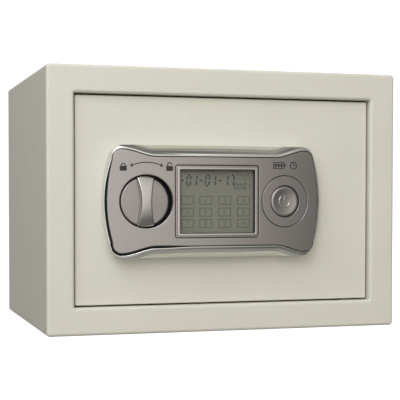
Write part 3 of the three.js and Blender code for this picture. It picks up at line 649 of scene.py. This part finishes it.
def combine(piece, cutters, operation="DIFFERENCE"):
    """Cuts a piece by bmesh shapes, or keeps what it shares with them, as its own mesh."""
    for cutter in cutters:
        tool = finish_mesh("tool", cutter)
        modifier = piece.modifiers.new("combine", "BOOLEAN")
        modifier.operation = operation
        modifier.object = tool
        modifier.solver = "EXACT"
        keep_result(piece)
        bpy.data.objects.remove(tool)
    return piece


def soften(piece, width, segments=3, angle=35):
    """Rounds the sharp edges of a finished piece."""
    modifier = piece.modifiers.new("soft_edges", "BEVEL")
    modifier.width = width * MM
    modifier.segments = segments
    modifier.limit_method = "ANGLE"
    modifier.angle_limit = math.radians(angle)
    modifier.use_clamp_overlap = True
    keep_result(piece)
    for polygon in piece.data.polygons:
        polygon.use_smooth = True
    return weighted(piece)


# ---- cabinet ----

def cabinet_sections():
    """(depth, inset, radius) round the wall's section: outside, flange, mouth, lip, inside."""
    mouth = 2 * FLANGE
    edge_back = FRONT_Y + EDGE_ROUND
    lip_back = FRONT_Y + LIP_DEPTH
    sections = [(BACK_Y, 0, CORNER_ROUND), (edge_back, 0, CORNER_ROUND)]
    for across, depth in quarter_turn(8, 1):
        inset = EDGE_ROUND * across
        sections.append((FRONT_Y + EDGE_ROUND * depth, 2 * inset, max(CORNER_ROUND - inset, 0.5)))
    for depth, short in quarter_turn(8):
        inset = mouth - 2 * EDGE_ROUND * short
        sections.append((FRONT_Y + EDGE_ROUND * depth, inset, 1 + (mouth - inset) / 2))
    sections += [(lip_back - 0.4, mouth, 1), (lip_back, mouth - 0.8, 1.2)]
    sections += [(lip_back, mouth - 3.2, 2.6), (lip_back - 0.4, mouth - 4, 3)]
    sections += [(edge_back, mouth - 4, 3), (FRONT_Y + SHEET, mouth - 6, 4)]
    sections += [(FRONT_Y + SHEET, 6, 2.5), (FRONT_Y + 3.2, 4, 1.5), (BACK_Y, 4, 1.5)]
    return sections


def make_cabinet():
    sections = [(node_rect("cabinet_shell", -inset, radius, 6), y)
                for y, inset, radius in cabinet_sections()]
    shell = finish_mesh("cabinet_wrap", loft(bmesh.new(), sections, closed=True))
    holes = [rod(ANCHOR_RADIUS, "Z", (x, FLOOR_ANCHOR_Y), -1, SHEET + 1)
             for x in (-ANCHOR_X, ANCHOR_X)]
    for z in (FLANGE, CABINET_HIGH[2] - FLANGE):
        holes.append(rod(BUSH_RADIUS + 0.15, "Z", HINGE, z - 3, z + 3))
    dress(weighted(combine(shell, holes)), "cabinet_shell", "cabinet")


def make_back_panel():
    low, high = node_mm("back_panel")
    holes = [circle(ANCHOR_RADIUS, x, MID_Z, 48) for x in (-ANCHOR_X, ANCHOR_X)]
    bm = slab(node_rect("back_panel", 0, 1.4), holes, -high[1], -low[1], 0.5)
    bmesh.ops.scale(bm, vec=(1, -1, 1), verts=bm.verts[:])
    fit("rear_panel", bm, "back_panel", "cabinet", flat=True)


def rim(rows):
    """The outer loop of a grid of vertices."""
    loop = list(rows[0]) + [row[-1] for row in rows[1:]]
    loop += list(reversed(rows[-1]))[1:]
    loop += [row[0] for row in reversed(rows[1:-1])]
    return loop


def make_mat():
    """Felt mat: a soft-edged sheet with a slightly uneven face."""
    low, high = node_mm("floor_mat")
    columns, rows = 86, 56
    bm = bmesh.new()
    upper, lower = [], []
    for j in range(rows + 1):
        top_row, bottom_row = [], []
        for i in range(columns + 1):
            x = low[0] + (high[0] - low[0]) * i / columns
            y = low[1] + (high[1] - low[1]) * j / rows
            edge = min(x - low[0], high[0] - x, y - low[1], high[1] - y)
            sink = 0.9 * max(0.0, 1 - edge / 3) ** 2
            ripple = 0.3 * noise.noise(Vector((x / 9, y / 9, 2.5)))
            top_row.append(bm.verts.new((x, y, high[2] - 0.35 - sink + ripple)))
            bottom_row.append(bm.verts.new((x, y, low[2] + 0.05)))
        upper.append(top_row)
        lower.append(bottom_row)
    strips(bm, upper, closed_column=False)
    strips(bm, lower, closed_column=False)
    strips(bm, [rim(upper), rim(lower)])
    mat = finish_mesh("felt_mat", bm, 60)
    dress(mat, "floor_mat", "cabinet")


def make_hinges():
    """Flanged bushes in the lip, near-black pins, bored blocks and one near-black bearing washer;
    the pins' and washer's dark steel is painted shade, so the door gap reads dark.
    """
    for level, up in (("upper", 1), ("lower", -1)):
        face = CABINET_HIGH[2] - FLANGE if up == 1 else FLANGE
        bore = PIN_RADIUS + 0.08
        profile = [(bore, 0), (BUSH_RADIUS, 0), (BUSH_RADIUS, SHEET), (7, SHEET), (7, 4), (bore, 4)]
        points = [(r, face + up * z) for r, z in profile]
        points = rounded_profile(points + [points[0]], 0.2)
        bm = turned(points[:-1], "Z", HINGE, closed=True)
        fit(f"{level}_bush", bm, f"{level}_hinge_bush", "cabinet")
        low, high = node_mm(f"{level}_hinge_pin")
        bm = turned(tube(0, PIN_RADIUS, low[2], high[2]), "Z", HINGE, 48, round_by=0.6)
        fit(f"{level}_pin", bm, f"{level}_hinge_pin", material=SHADE_DARK_HINGE_STEEL)
        low, high = node_mm(f"{level}_hinge_block")
        block = finish_mesh(f"{level}_block", box(low, high))
        combine(block, [rod(PIN_RADIUS + 0.15, "Z", HINGE, low[2] - 1, high[2] + 1)])
        dress(soften(block, 0.8), f"{level}_hinge_block", "door")
    bm = turned(tube(3.3, 6, FLANGE, FLANGE + 1.4), "Z", HINGE, 48, closed=True)
    fit("bearing_washer", bm, "hinge_washer", "cabinet", material=SHADE_DARK_HINGE_STEEL)


# ---- door and lock panel ----

def make_door():
    holes = [circle(6.5, *KNOB, 48), circle(8, 20, PANEL_Z, 48)]
    holes += [circle(2.3, x, z, 24) for x, z in PANEL_SCREWS]
    bm = slab(node_rect("door_panel", 0, 1.5), holes, DOOR_FRONT, DOOR_BACK, 1.0)
    fit("door_plate", bm, "door_panel", flat=True)


BASE_FORM = {"corner": (88.6, 40.5, 12), "half_width": 107.3, "side": 140}
FACE_FORM = {"corner": (91, 39.4, 9), "half_width": 105.2, "side": 136}


def base_height(x):
    """Level top and bottom edges, eased down a touch where the corner arc begins."""
    return 52.5 if x < BASE_FORM["corner"][0] else 52.45


def face_height(x):
    """Waisted: level over the middle, flaring to taller ears near both ends."""
    return 41.6 + 6.8 * smooth((x - 59) / 32)


def panel_outline(form, height, offset=0.0):
    """Closed outline from one quarter: top edge, corner arc, bowed side."""
    corner_x, corner_z, radius = form["corner"]
    quarter = []
    for step in range(28):
        x = corner_x * step / 28
        quarter.append((x, height(x) + offset))
    low = math.asin(corner_z / form["side"]) * 1.05
    for step in range(13):
        angle = math.pi / 2 - (math.pi / 2 - low) * step / 12
        quarter.append(polar(corner_x, corner_z, radius + offset, angle))
    end_z = quarter[-1][1]
    for step in range(1, 11):
        z = end_z * (1 - step / 10)
        quarter.append((form["half_width"] + offset - z * z / (2 * form["side"]), z))
    right = quarter + [(x, -z) for x, z in reversed(quarter[:-1])]
    left = [(-x, z) for x, z in reversed(right[1:-1])]
    return [(PANEL_X + x, PANEL_Z + z) for x, z in right + left]


def face_outline(offset=0.0):
    return panel_outline(FACE_FORM, face_height, offset)


# Depth of the plated surround below the bowed front, by distance out from the groove.
ROOF = [(0, 0.9), (1.2, 0.9), (2.1, 1.0), (3.0, 1.5), (4.5, 2.45), (5.5, 3.3), (6.9, 5.0),
        (8.3, 6.9), (9.4, 8.8), (10.2, 10.8), (20, 12)]

# Section of the outer edge, in shares of its rounding: distance in, and depth below the roof.
OUTER_EDGE = [(0.0, 1.6), (0.05, 1.0), (0.18, 0.55), (0.38, 0.27), (0.66, 0.08), (1.0, 0.0)]

# Section of the bead: share of its width from the groove's edge, and rise above the surround.
BEAD = [(1.0, 0.0), (0.92, 0.11), (0.75, 0.27), (0.5, 0.37), (0.25, 0.34), (0.08, 0.21),
        (0.0, 0.04)]


def roof_drop(distance):
    for (s0, d0), (s1, d1) in zip(ROOF, ROOF[1:]):
        if distance <= s1:
            return d0 + (d1 - d0) * (distance - s0) / (s1 - s0)
    return ROOF[-1][1]


def toward_left(x, z, up):
    """1 at the panel's left end and its left corner above (up = 1) or below (up = -1)."""
    return smooth(((PANEL_X - x) / 107 + up * (z - PANEL_Z) / 120 - 0.55) / 0.35)


def away_from_ends(x):
    return smooth((101 - abs(x - PANEL_X)) / 12)


def groove_width(x, z):
    """Width of the groove round the face; it is widest at the lower left, where the black in the
    groove is painted shade that falls there.
    """
    return 0.36 + 1.3 * toward_left(x, z, -1)


def bead_width(x, z):
    """Width of the raised bead that borders the groove; it dies away at both ends."""
    upper, lower = toward_left(x, z, 1), toward_left(x, z, -1)
    corner = 0.6 * (1 - lower) * (1 - 0.7 * upper) * min(abs(z - PANEL_Z) / 50, 1)
    return 0.12 + (1.2 + 0.8 * upper) * max(away_from_ends(x), corner)


def outer_round(x, z):
    """Rounding of the surround's outer edge, softest at its upper left corner."""
    corner = toward_left(x, z, 1) * (1 - toward_left(x, z, -1))
    return 0.14 + 1.1 * corner * (1 - away_from_ends(x))


def surround_section(inner, outer):
    """Points of the surround's section at one place along the groove, outermost first."""
    (x0, z0), (x1, z1) = inner, outer
    span = math.hypot(x1 - x0, z1 - z0)
    rounding = outer_round(x1, z1)
    bead = min(bead_width(x0, z0), 0.98 * (span - rounding))
    rows = [(span - share * rounding, depth * rounding) for share, depth in OUTER_EDGE]
    level = span - rounding
    rows += [(level + (bead - level) * step / 14, 0) for step in range(1, 14)]
    lift = 1 + 0.6 * toward_left(x0, z0, 1)
    rows += [(share * bead, -rise * lift) for share, rise in BEAD]
    points = []
    for distance, depth in rows:
        x = x0 + (x1 - x0) * distance / span
        z = z0 + (z1 - z0) * distance / span
        points.append((x, crown_y(x) + roof_drop(distance) + depth, z))
    return points


def make_panel_base():
    bm = bmesh.new()
    outer = panel_outline(BASE_FORM, base_height)
    inner = shifted(face_outline(), groove_width)
    window = face_outline(-3.5)
    rings = [ring_at(bm, outer, DOOR_FRONT)]
    columns = [surround_section(a, b) for a, b in zip(inner, outer)]
    rings += [vertices(bm, row) for row in zip(*columns)]
    for outline, depth in ((inner, SKIRT_BACK), (window, SKIRT_BACK), (window, DOOR_FRONT)):
        rings.append(ring_at(bm, outline, depth))
    strips(bm, rings, closed_row=True)
    base = finish_mesh("plated_surround", bm, 50)
    holes = [rod(2.4, "Y", place, -125, DOOR_FRONT + 1, 24) for place in PANEL_SCREWS]
    dress(weighted(combine(base, holes)), "panel_base", "door")


def make_face_plate():
    """Bowed skin with a skirt behind its rim, open where display, knob and button show."""
    holes = [node_rect("display_bezel", 0.8, 2.4, 6), circle(WELL_RADIUS - 0.5, *KNOB)]
    holes.append(circle(RING_RADIUS + 0.3, BUTTON_X, PANEL_Z))
    # The skin is trimmed back at the lower left to widen the black groove, which is painted shade.
    outline = shifted(face_outline(), lambda x, z: -0.1 - 0.35 * toward_left(x, z, -1))
    skin = bow(slab(outline, holes, 0, 2, 0.8, 5))
    fit("face_skin", skin, "face_plate", sharp=50, flat=True)
    make_skirt()


def make_skirt():
    """Black skirt behind the face's rim, whose foot fills the groove with black as painted shade,
    and black screw bosses.
    """
    outer, inner = face_outline(-0.45), face_outline(-2)
    foot = shifted(face_outline(), lambda x, z: groove_width(x, z) - 0.1)
    top, heel, sole = under_crown(1.9), under_crown(3.4), under_crown(3.5)
    bm = loft(bmesh.new(), [(outer, top), (outer, heel), (foot, sole), (foot, SKIRT_BACK),
                            (inner, SKIRT_BACK), (inner, top)], closed=True)
    fit("face_skirt", bm, "face_plate", material=SEAL_AND_SHADE_BLACK)
    for number, (x, z) in enumerate(PANEL_SCREWS, 1):
        bm = turned(tube(2.1, 4, SKIRT_BACK, crown_y(x) + 2), "Y", (x, z), 32, closed=True)
        fit(f"screw_boss_{number}", bm, "face_plate", material=SEAL_AND_SHADE_BLACK)


def make_bezel():
    """Stepped frame round the display, bowed like the face, with a thin black liner that is painted
    shade on the opening's inner walls.
    """
    opening = rounded_rect(74, 59.5, 0.8, PANEL_X, PANEL_Z, 6)
    step = slab(node_rect("display_bezel", 0, 2, 6), [shifted(opening, 0.9)], 0.5, 4.2, 0.4)
    fit("bezel_step", bow(step), "display_bezel", sharp=50, flat=True)
    raised = slab(node_rect("display_bezel", -2.8, 1.5, 6), [opening], -0.8, 3.4, 0.6)
    fit("bezel_rim", bow(raised), "display_bezel", sharp=50, flat=True, material=BRIGHT_PEWTER)
    # Black liner inside the opening: painted shade on the inner walls and under the top edge.
    hole = rounded_rect(73.3, 58.9, 0.5, PANEL_X, PANEL_Z, 6)
    liner = slab(rounded_rect(74.2, 59.7, 0.8, PANEL_X, PANEL_Z, 6), [hole], 0.1, 4.2, 0.1, 2)
    bow(liner)
    for vertex in liner.verts:
        vertex.co.y = min(vertex.co.y, GLASS_FRONT - 0.02)
    settle(finish_mesh("bezel_painted_shade_liner", liner, 50), "black_plastic", "door", "display_bezel")


def make_button_ring():
    hole = circle(BUTTON_RADIUS + 0.4, BUTTON_X, PANEL_Z)
    ring = slab(circle(RING_RADIUS, BUTTON_X, PANEL_Z), [hole], 0, 3, 0.45)
    fit("button_surround", bow(ring, 4), "button_ring", sharp=50, flat=True)


def place_on_crown(bm):
    """Tilts the button's shapes with the panel's bow and moves them to their place."""
    tilt = math.asin((BUTTON_X - PANEL_X) / CROWN_RADIUS)
    bmesh.ops.rotate(bm, cent=(0, 0, 0), verts=bm.verts[:], matrix=Matrix.Rotation(tilt, 3, "Z"))
    place = Vector((BUTTON_X, crown_y(BUTTON_X) + 0.1, PANEL_Z))
    bmesh.ops.translate(bm, vec=place, verts=bm.verts[:])
    return bm


def raised_stroke(bm, path):
    """A low rounded ridge along a path in X-Z, standing towards -Y."""
    half = 0.8
    side = [(1, 0.25), (0.85, -0.2), (0.45, -0.45)]
    section = [(-across, y) for across, y in side] + [(0, -0.55)] + side[::-1]
    rings = []
    for i, (x, z) in enumerate(path):
        before = Vector(path[max(i - 1, 0)])
        after = Vector(path[min(i + 1, len(path) - 1)])
        along = (after - before).normalized() * half
        rings.append(vertices(bm, [(x - along.y * across, y, z + along.x * across)
                                   for across, y in section]))
    capped(bm, rings)


def make_button():
    """Dished push button with a raised standby mark: an open ring and a short bar."""
    face = [(0, 1.4), (3, 1.33), (6, 1.08), (9, 0.7), (11.2, 0.25), (12.2, 0.02), (12.8, 0.0),
            (13.9, 0.25), (14.6, 0.75), (BUTTON_RADIUS, 1.6)]
    bm = turned(face + [(BUTTON_RADIUS, 4.0), (0, 4.0)], "Y", (0, 0), 96)
    fit("push_button", place_on_crown(bm), "wake_button", "wake_button", 60)
    bm = bmesh.new()
    raised_stroke(bm, [polar(0, 0, 5.6, math.radians(128 + 284 * i / 40)) for i in range(41)])
    raised_stroke(bm, [(0, 6.5 - 5.4 * i / 8) for i in range(9)])
    for vertex in bm.verts:
        reach = math.hypot(vertex.co.x, vertex.co.z)
        vertex.co.y += 1.4 * (1 - (reach / 12.6) ** 2)
    mark = finish_mesh("standby_mark", place_on_crown(bm), 60)
    settle(mark, "pewter_plastic", "wake_button", material=BRIGHT_PEWTER)


# ---- knob ----

def make_well():
    """Black wall and floor round the knob."""
    front, back = WELL_FLOOR
    wall = slab(circle(WELL_RADIUS + 1.6, *KNOB), [circle(WELL_RADIUS, *KNOB)], 2.1, 12, 0.2)
    bow(wall, 4)
    for vertex in wall.verts:
        vertex.co.y = min(vertex.co.y, -125.0) if vertex.co.y < -124 else -125.0
    fit("well_wall", wall, "knob_well", sharp=50)
    bm = turned(tube(8, WELL_RADIUS + 1.5, front, back), "Y", KNOB, 96, closed=True)
    fit("well_floor", bm, "knob_well")


def bar_section(half, front):
    """Half-rounded section of the grip, from its left root round to its right root."""
    edge = 1.5
    points = [(-half - 0.35, DISC_FRONT + 0.8), (-half, front + edge + 0.8)]
    points += [(-half + edge * across, front + edge * depth) for across, depth in quarter_turn(6)]
    mirrored = [(-x, y) for x, y in reversed(points)]
    for share in (-0.5, -0.2, 0.2, 0.5):
        points.append(((half - edge) * share * 1.2, front - 0.12 * (1 - abs(share))))
    return points + mirrored


def make_knob():
    """Disc with a waisted grip bar, whose ends are cut to the disc's circle."""
    disc = [(0, DISC_FRONT), (22.4, DISC_FRONT), (DISC_RADIUS, DISC_FRONT + 0.9),
            (DISC_RADIUS, DISC_BACK), (0, DISC_BACK)]
    fit("turn_knob", turned(disc, "Y", KNOB, 128, round_by=0.9), "knob", "knob")
    bm = bmesh.new()
    rings = []
    reach = DISC_RADIUS + 0.6
    steps = 48
    for step in range(steps + 1):
        t = 2 * step / steps - 1
        section = bar_section(5.1 + 4.4 * t * t, -138.7 + 5.4 * t * t)
        rings.append(vertices(bm, [(KNOB[0] + x, y, PANEL_Z + t * reach) for x, y in section]))
    capped(bm, rings)
    bar = finish_mesh("grip_bar", bm, 50)
    combine(bar, [rod(DISC_RADIUS - 0.25, "Y", KNOB, -150, -129, 128)], "INTERSECT")
    soften(bar, 0.5, 3, 50)
    dress(bar, "knob", "knob", BRIGHT_PEWTER)


# ---- display ----

SEGMENTS = {
    "0": "abcdef", "1": "bc", "2": "abged", "3": "abgcd", "4": "fgbc", "5": "afgcd",
    "6": "afgedc", "7": "abc", "8": "abcdefg", "9": "abcdfg", "-": "g",
}
SLANT = 0.10
INK_FRONT, INK_BACK = LCD_FRONT - 0.12, LCD_FRONT - 0.02


def six_sided(start, end, level, half):
    """(along, across) points of a bar with pointed ends."""
    return [(start, level), (start + half, level + half), (end - half, level + half),
            (end, level), (end - half, level - half), (start + half, level - half)]


def segment_outline(letter, width, height, stroke):
    """Bar of one display segment, in a box from (0, 0) to (width, height)."""
    half = stroke / 2
    gap = stroke * 0.16
    middle = height / 2
    level = {"a": height - half, "g": middle, "d": half}
    if letter in level:
        return six_sided(half + gap, width - half - gap, level[letter], half)
    x = half if letter in "ef" else width - half
    z0, z1 = (middle + gap, height - half - gap) if letter in "bf" else (half + gap, middle - gap)
    return [(across, along) for along, across in six_sided(z0, z1, x, half)]


def ink_shape(bm, outline, front=INK_FRONT, back=INK_BACK):
    loft(bm, [(outline, front), (outline, back)])


def rect(x0, x1, z0, z1):
    return [(x0, z0), (x1, z0), (x1, z1), (x0, z1)]


def write_digit(bm, character, x, z, width, height, stroke):
    for letter in SEGMENTS[character]:
        points = segment_outline(letter, width, height, stroke)
        ink_shape(bm, [(x + px + SLANT * pz, z + pz) for px, pz in points])


def write_date(bm):
    """Three groups, each a dash and two digits."""
    for group, text in enumerate(("01", "01", "17")):
        x = PANEL_X - 36.1 + 18.4 * group
        write_digit(bm, "-", x - 0.4, 137.9, 5.4, 11.6, 1.6)
        for place, character in enumerate(text):
            write_digit(bm, character, x + 5.9 + 6 * place, 137.9, 5.0, 11.6, 1.6)


def write_time(bm):
    """A small clock beside the date."""
    for place, character in enumerate("0001"):
        x = PANEL_X + 17.6 + 3.9 * place + (1.0 if place > 1 else 0.0)
        write_digit(bm, character, x, 135.2, 3.0, 6.2, 0.85)
    for z in (137.2, 139.4):
        ink_shape(bm, circle(0.35, PANEL_X + 26.1, z, 12))


def write_status(bm):
    """Small status marks over the clock: a key, three level bars and three dashes."""
    cx = PANEL_X + 20.5
    ink_shape(bm, circle(1.1, cx, 149.2, 16))
    bars = [(1.0, 6.2, 148.9, 149.5), (4.6, 5.1, 147.8, 149.0), (5.7, 6.2, 147.8, 149.0)]
    bars += [(8.6 + 1.4 * i, 9.4 + 1.4 * i, 147.6, 149.2 + i) for i in range(3)]
    bars += [(x0, x1, 144.9, 145.5) for x0, x1 in ((0.2, 3.6), (5.2, 8.6), (10.2, 13.2))]
    for x0, x1, z0, z1 in bars:
        ink_shape(bm, rect(cx + x0, cx + x1, z0, z1))


def make_readout():
    digits = bmesh.new()
    write_date(digits)
    write_time(digits)
    status = bmesh.new()
    write_status(status)
    settle(finish_mesh("status_marks", status), "lcd", "door", material=FAINT_INK)
    settle(finish_mesh("readout_digits", digits), "lcd", "door", material=SEGMENT_INK)


def key_box(bm, cx, cz):
    """The drawn outline of one touch key."""
    width, height, line, front = 12.6, 8.4, 0.9, LCD_FRONT - 0.10
    outer = rounded_rect(width, height, 0.3, cx, cz, 2)
    inner = rounded_rect(width - 2 * line, height - 2 * line, 0.15, cx, cz, 2)
    loft(bm, [(outer, INK_BACK), (outer, front), (inner, front), (inner, INK_BACK)], closed=True)


def star_stroke(bm, cx, cz, degrees):
    angle = math.radians(degrees)
    along = Vector((math.cos(angle), math.sin(angle))) * 1.9
    across = Vector((-math.sin(angle), math.cos(angle))) * 0.22
    ends = [along + across, along - across, -along - across, -along + across]
    ink_shape(bm, [(cx + end.x, cz + end.y) for end in ends])


def make_keypad():
    """Twelve touch keys drawn on the display: three rows of four boxes."""
    boxes = bmesh.new()
    labels = bmesh.new()
    columns = [-44, -26, -7.2, 11.6]
    rows = [125.2, 114, 103.4]
    for z, text in zip(rows, ("123", "4560", "789")):
        for x in columns:
            key_box(boxes, x, z)
        for x, character in zip(columns, text):
            write_digit(labels, character, x - 1.6, z - 2.4, 2.6, 4.8, 0.7)
    for angle in (0, 60, 120):
        star_stroke(labels, columns[3], rows[0], angle)
    for x, z, angle in ((-0.7, 0, 90), (0.7, 0, 90), (0, 0.7, 0), (0, -0.7, 0)):
        star_stroke(labels, columns[3] + x, rows[2] + z, angle)
    settle(finish_mesh("key_boxes", boxes), "lcd", "door", material=FAINT_INK)
    settle(finish_mesh("key_labels", labels), "lcd", "door", material=FAINT_INK)


def make_display():
    glass = slab(node_rect("touch_glass", 0, 0.5, 3), [], GLASS_FRONT, LCD_FRONT - 0.2, 0.15, 2)
    fit("cover_glass", glass, "touch_glass")
    make_readout()
    make_keypad()


# ---- printed marks ----

def printed(bm, outline):
    """A shape printed on the bowed face."""
    ink_shape(bm, outline, under_crown(-0.05), under_crown(0.03))


def arc_band(cx, cz, radius, half, start, end, steps=24):
    angles = [math.radians(start + (end - start) * i / steps) for i in range(steps + 1)]
    outer = [polar(cx, cz, radius + half, angle) for angle in angles]
    return outer + [polar(cx, cz, radius - half, angle) for angle in reversed(angles)]


def padlock(bm, cx, cz, lift):
    """A padlock 7 mm tall; with lift its shackle is open on the right."""
    printed(bm, rounded_rect(6.4, 4.6, 0.6, cx, cz, 3))
    base = cz + 2.2 + lift
    printed(bm, arc_band(cx, base + 0.3, 1.9, 0.5, 0, 180))
    for side in (-1,) if lift else (-1, 1):
        x = cx + side * 1.9
        printed(bm, rect(x - 0.5, x + 0.5, cz + 2.2, base + 0.3))


def turning_arrow(bm):
    """An arc over the knob with a head at both ends."""
    radius = 36.2
    printed(bm, arc_band(*KNOB, radius, 0.45, 69, 111))
    for angle, side in ((111, 1), (69, -1)):
        root = math.radians(angle)
        tip = math.radians(angle + side * 4.4)
        head = [(radius - 1.9, root), (radius + 1.9, root), (radius, tip)]
        printed(bm, [polar(*KNOB, reach, turn) for reach, turn in head])


def battery_mark(bm, x, z):
    """An outlined cell, 13 mm long, with three charge bars."""
    line, long, high = 0.8, 12, 6.2
    bars = [(0, long, 0, line), (0, long, high - line, high), (0, line, line, high - line),
            (long - line, long, line, high - line), (long, long + 1.2, 1.8, 4.4)]
    bars += [(1.8 + 3.1 * step, 3.9 + 3.1 * step, 1.6, 4.6) for step in range(3)]
    for x0, x1, z0, z1 in bars:
        printed(bm, rect(x + x0, x + x1, z + z0, z + z1))


def clock_mark(bm, cx, cz):
    for start in (0, 180):
        printed(bm, arc_band(cx, cz, 3.3, 0.45, start, start + 180))
    printed(bm, rect(cx - 0.35, cx + 0.35, cz, cz + 2.4))
    printed(bm, rect(cx, cx + 2.0, cz - 0.35, cz + 0.35))


def make_printed_marks():
    """Generic marks: padlock shut and open over the knob, a cell and a clock over the button."""
    bm = bmesh.new()
    padlock(bm, -105.3, 154.6, 0)
    padlock(bm, -62.4, 154.6, 0.9)
    turning_arrow(bm)
    battery_mark(bm, 40.4, 155.2)
    clock_mark(bm, 62.4, 158.3)
    settle(finish_mesh("printed_marks", bm), "black_plastic", "door", material=DARK_INK)


# ---- bolts, spindle, cover, batteries ----

def make_bolts():
    """Chamfered bolts, their guide bushes and the shoulder pins that hold the carrier."""
    root = CARRIER_X + 3
    bolt = [(0, BOLT_TIP_X), (7.8, BOLT_TIP_X), (BOLT_RADIUS, BOLT_TIP_X + 1.6),
            (BOLT_RADIUS, CARRIER_X), (4, CARRIER_X), (4, root), (6, root), (6, root + 2),
            (0, root + 2)]
    bore = BOLT_RADIUS + 0.12
    guide = [(bore, -136), (11, -136), (11, -132), (12.6, -132), (12.6, -130), (bore, -130)]
    pin = [(0, -112), (5, -112), (5, -90.4), (3, -90.4), (3, -86.6), (5, -86.6), (5, -84.6),
           (0, -84.6)]
    for level in ("lower", "upper"):
        axis = (BOLT_Y, centre_mm(f"{level}_bolt")[2])
        bm = turned(bolt, "X", axis, 96, round_by=0.4)
        fit(f"{level}_lock_bolt", bm, f"{level}_bolt", "bolts", material=BOLT_STEEL)
        bm = turned(guide, "X", axis, 96, closed=True)
        fit(f"{level}_guide_bush", bm, f"{level}_bolt_guide")
        x, _, z = centre_mm(f"{level}_guide_pin")
        bm = turned(pin, "Y", (x, z), 48, round_by=0.3)
        fit(f"{level}_shoulder_pin", bm, f"{level}_guide_pin")


def make_spindle():
    profile = [(0, -127), (5, -127), (5, -111.6), (4.2, -111.6), (4.2, -110.2), (5, -110.2),
               (5, -100), (4, -100), (4, -93), (0, -93)]
    fit("drive_spindle", turned(profile, "Y", KNOB, 48, round_by=0.2), "knob_spindle", "knob")


def make_inner_cover():
    """Drawn steel cover over the lock works, open for the bolts, its screws and the cells."""
    low, high = node_mm("inner_cover")
    back = high[1]
    outer = [(node_rect("inner_cover", 0, 4), y) for y in (DOOR_BACK, back - 3)]
    inner = [(node_rect("inner_cover", -3, 2.5), y) for y in (DOOR_BACK - 1, back - 4)]
    for across, depth in quarter_turn(7, 1):
        shrink = 6 * across
        outer.append((node_rect("inner_cover", -shrink, 4 - shrink / 4), back - 3 * depth))
        inner.append((node_rect("inner_cover", -3 - shrink * 0.8, 2.5 - shrink / 5),
                      back - 1.5 - 2.5 * depth))
    cover = finish_mesh("mechanism_cover", loft(bmesh.new(), outer))
    cutters = [loft(bmesh.new(), inner)]
    for level in ("lower", "upper"):
        axis = (BOLT_Y, centre_mm(f"{level}_bolt")[2])
        cutters.append(rod(BOLT_RADIUS + 0.8, "X", axis, low[0] - 1, low[0] + 3, 64))
    for number in range(1, 5):
        x, _, z = centre_mm(f"cover_screw_{number}")
        cutters.append(rod(1.9, "Y", (x, z), back - 3, back + 1, 24))
    tray_low, tray_high = node_mm("battery_tray")
    wall = 2.7
    cutters.append(box((tray_low[0] + wall, back - 4, tray_low[2] + wall),
                       (tray_high[0] - wall, back + 1, tray_high[2] - wall)))
    dress(weighted(combine(cover, cutters)), "inner_cover", "door")


def make_cover_screws():
    """Pan-head screws with a cross slot."""
    back = node_mm("inner_cover")[1][1]
    head = [(1.5, 0), (3.6, 0), (3.5, 0.8), (2.6, 1.6), (1.2, 2), (0, 2)]
    profile = [(0, back - 11), (1.5, back - 11)] + [(r, back + y) for r, y in head]
    for number in range(1, 5):
        x, _, z = centre_mm(f"cover_screw_{number}")
        screw = turned(profile, "Y", (x, z), 48, round_by=0.25)
        cross = [box((x - wide, back + 0.7, z - tall), (x + wide, back + 3, z + tall))
                 for wide, tall in ((2.2, 0.4), (0.4, 2.2))]
        screw = combine(finish_mesh(f"cover_bolt_{number}", screw), cross)
        dress(screw, f"cover_screw_{number}", "door")


def make_batteries():
    """Four cells with a crimped shoulder and a raised contact, every second one turned round."""
    for number in range(1, 5):
        node = f"battery_cell_{number}"
        x, y, _ = centre_mm(node)
        bottom, top = node_mm(node)[0][2], node_mm(node)[1][2]
        profile = [(0, bottom), (6.9, bottom), (7.25, bottom + 0.6), (7.25, top - 2),
                   (6.6, top - 1.3), (2.75, top - 1.3), (2.75, top), (0, top)]
        if number % 2 == 0:
            profile = [(r, bottom + top - z) for r, z in reversed(profile)]
        fit(f"dry_cell_{number}", turned(profile, "Z", (x, y), round_by=0.35), node)


def make_battery_cover():
    """Lid with a finger notch, and the plug behind it that fits the tray."""
    high = node_mm("battery_cover")[1]
    back, mid_z = high[1], centre_mm("battery_cover")[2]
    bm = slab(node_rect("battery_cover", 0, 2), [], -back, -(back - 2), 0.6)
    bmesh.ops.scale(bm, vec=(1, -1, 1), verts=bm.verts[:])
    lid = finish_mesh("battery_lid", bm)
    combine(lid, [box((high[0] - 12, back - 0.9, mid_z - 12), (high[0] - 6, back + 1, mid_z + 12))])
    dress(soften(lid, 0.25, 2, 40), "battery_cover", "battery_cover")
    outer = node_rect("battery_cover", -9.8, 1, 4)
    inner = node_rect("battery_cover", -12.4, 1, 4)
    plug = loft(bmesh.new(), [(outer, back - 2), (outer, back - 4.5), (inner, back - 4.5),
                              (inner, back - 2)], closed=True)
    settle(finish_mesh("battery_lid_plug", plug), "black_plastic", "battery_cover",
           "battery_cover")


dress_cad_nodes()
make_camera()
make_floor()
make_world()
make_lights()
make_cabinet()
make_back_panel()
make_mat()
make_hinges()
make_door()
make_panel_base()
make_face_plate()
make_bezel()
make_button_ring()
make_button()
make_well()
make_knob()
make_display()
make_printed_marks()
make_bolts()
make_spindle()
make_inner_cover()
make_cover_screws()
make_batteries()
make_battery_cover()

bpy.context.scene.view_settings.view_transform = "Standard"
